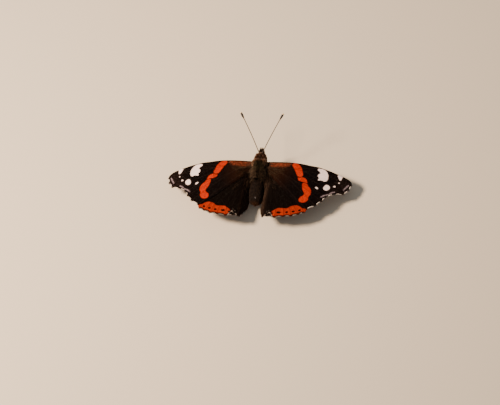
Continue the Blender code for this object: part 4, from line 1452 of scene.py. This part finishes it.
for pair, edge, veins, margin, height, depth, longs, seed, colour_of in (
        ("fore", fore_edge, FORE_VEINS, FORE_MARGIN, fore_height, FORE_FRINGE, (0.55, 0.9), 25,
         fringe_colour),
        ("hind", hind_edge, HIND_VEINS, HIND_MARGIN, hind_height, HIND_FRINGE, (1.0, 0.35), 26,
         dull_fringe_colour)):
    ends = [np.array(veins[name][-1]) for name in margin]
    strip = patch_of([fringe_part(edge, ends, height, side, depth, longs) for side in (-1, 1)])
    finish = hair(f"{pair} fringe", colour_of, 0.5, shade=0.1)
    grow(f"fringe_{pair}wings", strip, finish, f"{pair}wing_scales", seed,
         Spacing=0.05, Length=0.4, Width=0.032, Lift=0.05, Curl=0.02, Mess=0.1)

# %% [markdown]
# ## Eyes, feelers and tongue
# Each eye is a dome of thousands of lenses, which show as a fine grain under a wet shine. The
# feelers are shafts of short joints, each with a thin pale ring, and they end in a black club
# with a cream tip. The tongue is a tube that rolls up like a watch spring under the face.

# %% Eyes
EYE_AT = (1.2, 4.1, 0.35)
EYE_REACH = (0.86, 1.08, 1.25)


def wear(name, mesh, finish, slot, *nodes):
    """A piece with its material, in place of the solids that it stands for."""
    outward(mesh)
    piece = new_object(name, mesh, finish.material)
    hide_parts(*nodes)
    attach(piece, "root")
    return piece


def dome(centre, reach, rings=36, sides=44):
    """A closed egg round a centre, as rings with their poles to the front and back."""
    turn = np.linspace(0.0, math.pi, rings + 2)[1:-1]
    around = np.linspace(0.0, 2 * math.pi, sides, endpoint=False)
    x = np.sin(turn)[:, None] * np.cos(around)[None, :] * reach[0]
    z = np.sin(turn)[:, None] * np.sin(around)[None, :] * reach[2]
    y = np.repeat(np.cos(turn)[:, None] * reach[1], sides, axis=1)
    return np.stack([x, y, z], axis=2) + np.array(centre)


eye_finish = Finish("eye lens", 0.4, Specular_IOR_Level=0.12)
eye_spot = eye_finish.field("spot", "Vector")
eye_dark = eye_finish.cells(eye_spot, 1.6).step(0.42, 0.2)
eye_brown = eye_finish.mix(eye_finish.noise(eye_spot, 2.2), srgb(84, 40, 16), srgb(36, 19, 11))
eye_finish.paint(eye_finish.mix(eye_dark * 0.7, eye_brown, srgb(20, 11, 8)))
eye_finish.bump(eye_finish.cells(eye_spot, 17.0), 0.012, 0.5)
for side, hand in ((-1, "left"), (1, "right")):
    centre = (side * EYE_AT[0], EYE_AT[1], EYE_AT[2])
    mesh, _, _ = pieces_mesh(f"eye_dome_{hand}", [dome(centre, EYE_REACH)], BODY)
    wear(f"eye_dome_{hand}", mesh, eye_finish, "eye_lens", f"eye_{hand}")

# %% Short hairs on the eyes
EYE_HAIR = srgb(92, 54, 30)


def eye_hair_colour(finish):
    """Rusty brown, like the hair of the head around it."""
    return finish.mix(finish.noise(finish.field("spot", "Vector"), 1.5), HEAD_BROWN, EYE_HAIR)


eye_rings = [dome((side * EYE_AT[0], EYE_AT[1], EYE_AT[2]), EYE_REACH) for side in (-1, 1)]
eye_mesh, eye_spots, _ = pieces_mesh("eye_patch", eye_rings, BODY, split=0.5)
eye_way = eye_spots - np.array(EYE_AT) * np.where(eye_spots[:, :1] < 0, (-1, 1, 1), 1)
eye_out = eye_way / np.linalg.norm(eye_way, axis=1)[:, None]
eye_side = eye_out[:, 0] * np.sign(eye_spots[:, 0])
eye_cover = np.clip(1.0 - ramp(eye_side, 0.2, 0.7) + ramp(eye_out[:, 1], -0.3, -0.6), 0.12, 1.0)
eye_cover[eye_out[:, 1] > 0.75] = 0.1
eye_lies = eye_out * 0.5 + (0.0, -0.2, 0.1)
eye_patch = patch_from(eye_mesh, eye_cover, 0.6 + 0.4 * eye_cover, np.ones(len(eye_cover)),
                       turned(eye_lies, BODY))
grow("coat_eyes", eye_patch, hair("eye hair", eye_hair_colour), "body_hair", 27,
     Spacing=0.11, Length=0.42, Width=0.018, Lift=0.4, Curl=0.15, Mess=0.25)

# %% Feelers and tongue
FEELER_START = np.array((0.32, 4.62, 1.02))
FEELER_LENGTH = 16.7
FEELER_SPREAD = math.radians(28.5)
FEELER_RISE = math.radians(18.5)
FEELER_BOW = 0.2
FEELER_KNOTS = 20
SHAFT = 0.155
CLUB = 0.43
CLUB_FROM = 0.845
JOINT = 0.36


def feeler_knots():
    """Places along a feeler and its radius at each, a thin shaft and then the club."""
    flat = math.cos(FEELER_RISE)
    way = np.array((flat * math.sin(FEELER_SPREAD), flat * math.cos(FEELER_SPREAD), math.sin(FEELER_RISE)))
    aside = np.array((math.cos(FEELER_SPREAD), -math.sin(FEELER_SPREAD), 0.0))
    share = np.linspace(0.0, 1.0, FEELER_KNOTS + 1)
    bow = FEELER_BOW * np.sin(math.pi * share)
    knots = FEELER_START + way * FEELER_LENGTH * share[:, None] - aside * bow[:, None]
    club = np.clip((share - CLUB_FROM) / (1.0 - CLUB_FROM), 0.0, 1.0)
    radii = SHAFT + (CLUB - SHAFT) * np.sin(np.clip(club * 2.6, 0.0, math.pi)) ** 0.8
    return knots, radii - 0.02 * share


feeler_finish = Finish("feeler scales", 0.5, Specular_IOR_Level=0.25)
feeler_along = feeler_finish.field("along")
feeler_ring = (feeler_along / JOINT).alone("FRACT")
ring_pale = feeler_ring.step(0.62, 0.8) * feeler_ring.step(0.99, 0.9)
shaft_colour = feeler_finish.mix(ring_pale * 0.35, srgb(32, 19, 12), srgb(140, 112, 84))
club_start = FEELER_LENGTH * (CLUB_FROM + 0.02)
shaft_colour = feeler_finish.mix(feeler_along.step(club_start, club_start + 0.6), shaft_colour, srgb(26, 16, 12))
cream_from = FEELER_LENGTH - 0.42
shaft_colour = feeler_finish.mix(feeler_along.step(cream_from, cream_from + 0.2), shaft_colour,
                                 srgb(226, 190, 140))
feeler_finish.paint(shaft_colour)
feeler_finish.bump(feeler_ring.step(0.85, 1.0), 0.02, 0.8)
knots, radii = feeler_knots()
for side, hand in ((-1, "left"), (1, "right")):
    line = knots * (side, 1.0, 1.0)
    mesh, _, _ = pieces_mesh(f"feeler_{hand}", [limb_rings(line, radii, 0.09, 14)], BODY)
    wear(f"feeler_{hand}", mesh, feeler_finish, "antenna_scales", f"antenna_{hand}")

COIL_ROOT = (0.0, 3.95, -0.85)
COIL_CENTRE = (4.7, -2.3)
COIL_KNOTS = 28


def coil_knots():
    """Down from the face and then once and a half round, each turn inside the last."""
    knots = [COIL_ROOT]
    for step in range(COIL_KNOTS + 1):
        turn = step / COIL_KNOTS * 1.6
        radius = 0.9 - 0.42 * turn
        angle = math.radians(100) - turn * 2 * math.pi
        knots.append((0.0, COIL_CENTRE[0] + radius * math.cos(angle),
                      COIL_CENTRE[1] + radius * math.sin(angle)))
    return knots


tongue_finish = Finish("tongue", 0.35, Specular_IOR_Level=0.4)
tongue_ring = (tongue_finish.field("along") * 9.0).alone("FRACT")
tongue_finish.paint(tongue_finish.mix(tongue_ring.step(0.6, 0.9) * 0.4, srgb(58, 34, 20), srgb(22, 13, 9)))
tongue_finish.bump(tongue_ring, 0.01, 0.6)
knots = coil_knots()
radii = np.linspace(0.2, 0.1, len(knots))
tongue_mesh, _, _ = pieces_mesh("tongue", [limb_rings(knots, radii, 0.08, 14)], BODY)
wear("tongue", tongue_mesh, tongue_finish, "proboscis_skin", "proboscis")
print("eyes, feelers and tongue are on")

# %% [markdown]
# ## Legs
# The animal stands on its middle and hind legs. Each has a strong thigh, a thinner shin with two
# spurs at its end, and a foot of five joints with two claws, which lies flat on the floor. The
# front legs are small brushes, folded against the chest and no use for walking.

# %% Standing legs and brush legs
FOOT = 0.13
MID_LEG = {"hip": (1.2, 0.0, -1.9), "knee": (5.6, 0.7, 6.0), "ankle": (7.6, 1.8), "toe": (10.2, 4.3)}
HIND_LEG = {"hip": (1.1, -2.2, -1.8), "knee": (5.0, -6.0, 5.6), "ankle": (6.8, -8.8), "toe": (8.2, -13.0)}
FOOT_JOINTS = 5
BRUSH_LEG = [(0.9, 1.4, -1.6), (1.15, 2.2, -2.5), (1.15, 3.3, -2.8), (0.95, 4.4, -2.65), (0.85, 5.1, -2.35)]


def leg_parts(leg):
    """A leg, its spurs and its claws, as tubes in the floor's frame."""
    hip = np.array(STANCE.inverted() @ BODY @ Vector(leg["hip"]))
    knee = np.array(leg["knee"])
    ankle = np.array((*leg["ankle"], FOOT + 0.42))
    toe = np.array((*leg["toe"], FOOT))
    heel = ankle + (toe - ankle) * 0.12
    heel[2] = FOOT
    knots = [hip, hip + (knee - hip) * 0.35, hip + (knee - hip) * 0.7, hip + (knee - hip) * 0.93, knee,
             knee + (ankle - knee) * 0.08, knee + (ankle - knee) * 0.5, ankle]
    radii = [0.3, 0.35, 0.3, 0.23, 0.2, 0.2, 0.19, 0.2]
    knots.append(heel)
    radii.append(0.13)
    reach = (toe - heel) * 0.94
    for joint in range(FOOT_JOINTS):
        for share, radius in ((0.25, 0.1), (0.85, FOOT)):
            knots.append(heel + reach * (joint + share) / FOOT_JOINTS)
            radii.append(radius)
    knots[-1][2] = FOOT
    leg_rings = limb_rings(knots, radii, 0.14, 14)
    leg_rings[..., 2] = np.maximum(leg_rings[..., 2], 0.0)
    down = (ankle - knee) / np.linalg.norm(ankle - knee)
    ahead = (toe - heel) / np.linalg.norm(toe - heel)
    across = np.cross(ahead, (0.0, 0.0, 1.0))
    parts = [leg_rings]
    for hand in (-1, 1):
        spur = [ankle - down * 0.1, ankle + ahead * 0.25 + across * 0.14 * hand,
                ankle + ahead * 0.55 + across * 0.2 * hand - (0, 0, 0.1)]
        parts.append(limb_rings(spur, (0.06, 0.05, 0.01), 0.1, 6))
        tip = knots[-1]
        claw = [tip, tip + ahead * 0.14 + across * 0.09 * hand + (0, 0, 0.02),
                tip + ahead * 0.24 + across * 0.16 * hand - (0, 0, 0.09)]
        parts.append(limb_rings(claw, (0.06, 0.04, 0.01), 0.08, 6))
    return parts


def leg_colour(finish):
    """Dark thighs, and shins and feet of a paler brown with darker joints."""
    along = finish.field("along")
    colour = finish.mix(along.step(5.5, 7.5), srgb(62, 42, 27), srgb(122, 88, 56))
    return finish.mix(along.step(11.5, 13.5) * 0.5, colour, srgb(70, 46, 28))


def other_side(parts):
    """The same tubes for the left side of the body."""
    return [rings * np.array((-1.0, 1.0, 1.0)) for rings in parts]


leg_finish = Finish("leg skin", 0.5, Specular_IOR_Level=0.3)
leg_finish.paint(leg_finish.mix(0.3, leg_colour(leg_finish), (0.0, 0.0, 0.0)))
leg_finish.bump(leg_finish.cells(leg_finish.field("spot", "Vector"), 14.0), 0.02, 0.5)
leg_hair = hair("leg scales", leg_colour, 0.6)
for number, (name, leg) in enumerate((("midleg", MID_LEG), ("hindleg", HIND_LEG))):
    right = leg_parts(leg)
    parts = [right[0], other_side(right)[0], *right[1:], *other_side(right)[1:]]
    mesh, _, ways = pieces_mesh(f"{name}s_skin", parts, STANCE, 0.45)
    wear(f"{name}s_skin", mesh, leg_finish, "leg_scales", f"{name}_left", f"{name}_right")
    body = np.arange(len(ways)) < 2 * (right[0].shape[0] * right[0].shape[1] + 2)
    high = np.array([vertex.co.z for vertex in mesh.vertices]) / MM
    patch = patch_from(mesh, body * 1.0, 0.45 + 0.55 * ramp(high, 0.3, 1.0), np.ones(len(ways)), ways)
    leg_coat = grow(f"coat_{name}s", patch, leg_hair, "leg_scales", 27 + number,
                    Spacing=0.13, Length=0.4, Width=0.02, Lift=0.35, Curl=0.1, Mess=0.12)
    for vertex in leg_coat.data.vertices:
        vertex.co.z = max(vertex.co.z, 0.0)

brush_parts = [limb_rings(line, (0.2, 0.22, 0.22, 0.18, 0.1)) for line in (BRUSH_LEG, mirrored(BRUSH_LEG))]
brush_mesh, brush_spots, brush_ways = pieces_mesh("brush_legs_skin", brush_parts, BODY, 0.49)
wear("brush_legs_skin", brush_mesh, skin_finish, "body_hair", "foreleg_left", "foreleg_right")
ones = np.ones(len(brush_spots))
brush_patch = patch_from(brush_mesh, ones, ones, ones, turned(brush_ways, BODY))
grow("coat_brush_legs", brush_patch, hair_finish, "body_hair", 29,
     Spacing=0.1, Length=0.42, Width=0.02, Lift=0.4, Curl=0.1, Mess=0.2)

# %% [markdown]
# ## The floor and the light
# The animal rests on a plain pale floor. One broad warm lamp stands low on the left behind it,
# like an evening sun through thin cloud, and the rest of the light is even and grey.

# %% Floor, lamp and surrounding light
FLOOR_COLOUR = srgb(206, 186, 160)
KEY_POWER = 5.6
KEY_SIZE = 0.10
KEY_FROM = Vector((-0.27, -0.07, 0.34))
SKY_STRENGTH = 0.44

floor_mesh = bpy.data.meshes.new("floor")
floor_mesh.from_pydata([(-2, -2, 0), (2, -2, 0), (2, 2, 0), (-2, 2, 0)], [], [(0, 1, 2, 3)])
floor_finish = Finish("floor", 0.9, Specular_IOR_Level=0.1)
floor_finish.paint(FLOOR_COLOUR)
floor = new_object("floor", floor_mesh, floor_finish.material)

lamp = bpy.data.lights.new("key", "AREA")
lamp.energy = KEY_POWER
lamp.size = KEY_SIZE
lamp.color = (1.0, 0.86, 0.72)
key = bpy.data.objects.new("key", lamp)
key.matrix_world = Matrix.Translation(KEY_FROM) @ KEY_FROM.to_track_quat("Z", "Y").to_matrix().to_4x4()
bpy.context.scene.collection.objects.link(key)

sky = bpy.data.worlds.new("sky")
sky.use_nodes = True
sky.node_tree.nodes["Background"].inputs["Color"].default_value = (0.80, 0.88, 1.0, 1.0)
sky.node_tree.nodes["Background"].inputs["Strength"].default_value = SKY_STRENGTH
bpy.context.scene.world = sky
print("floor and light set")
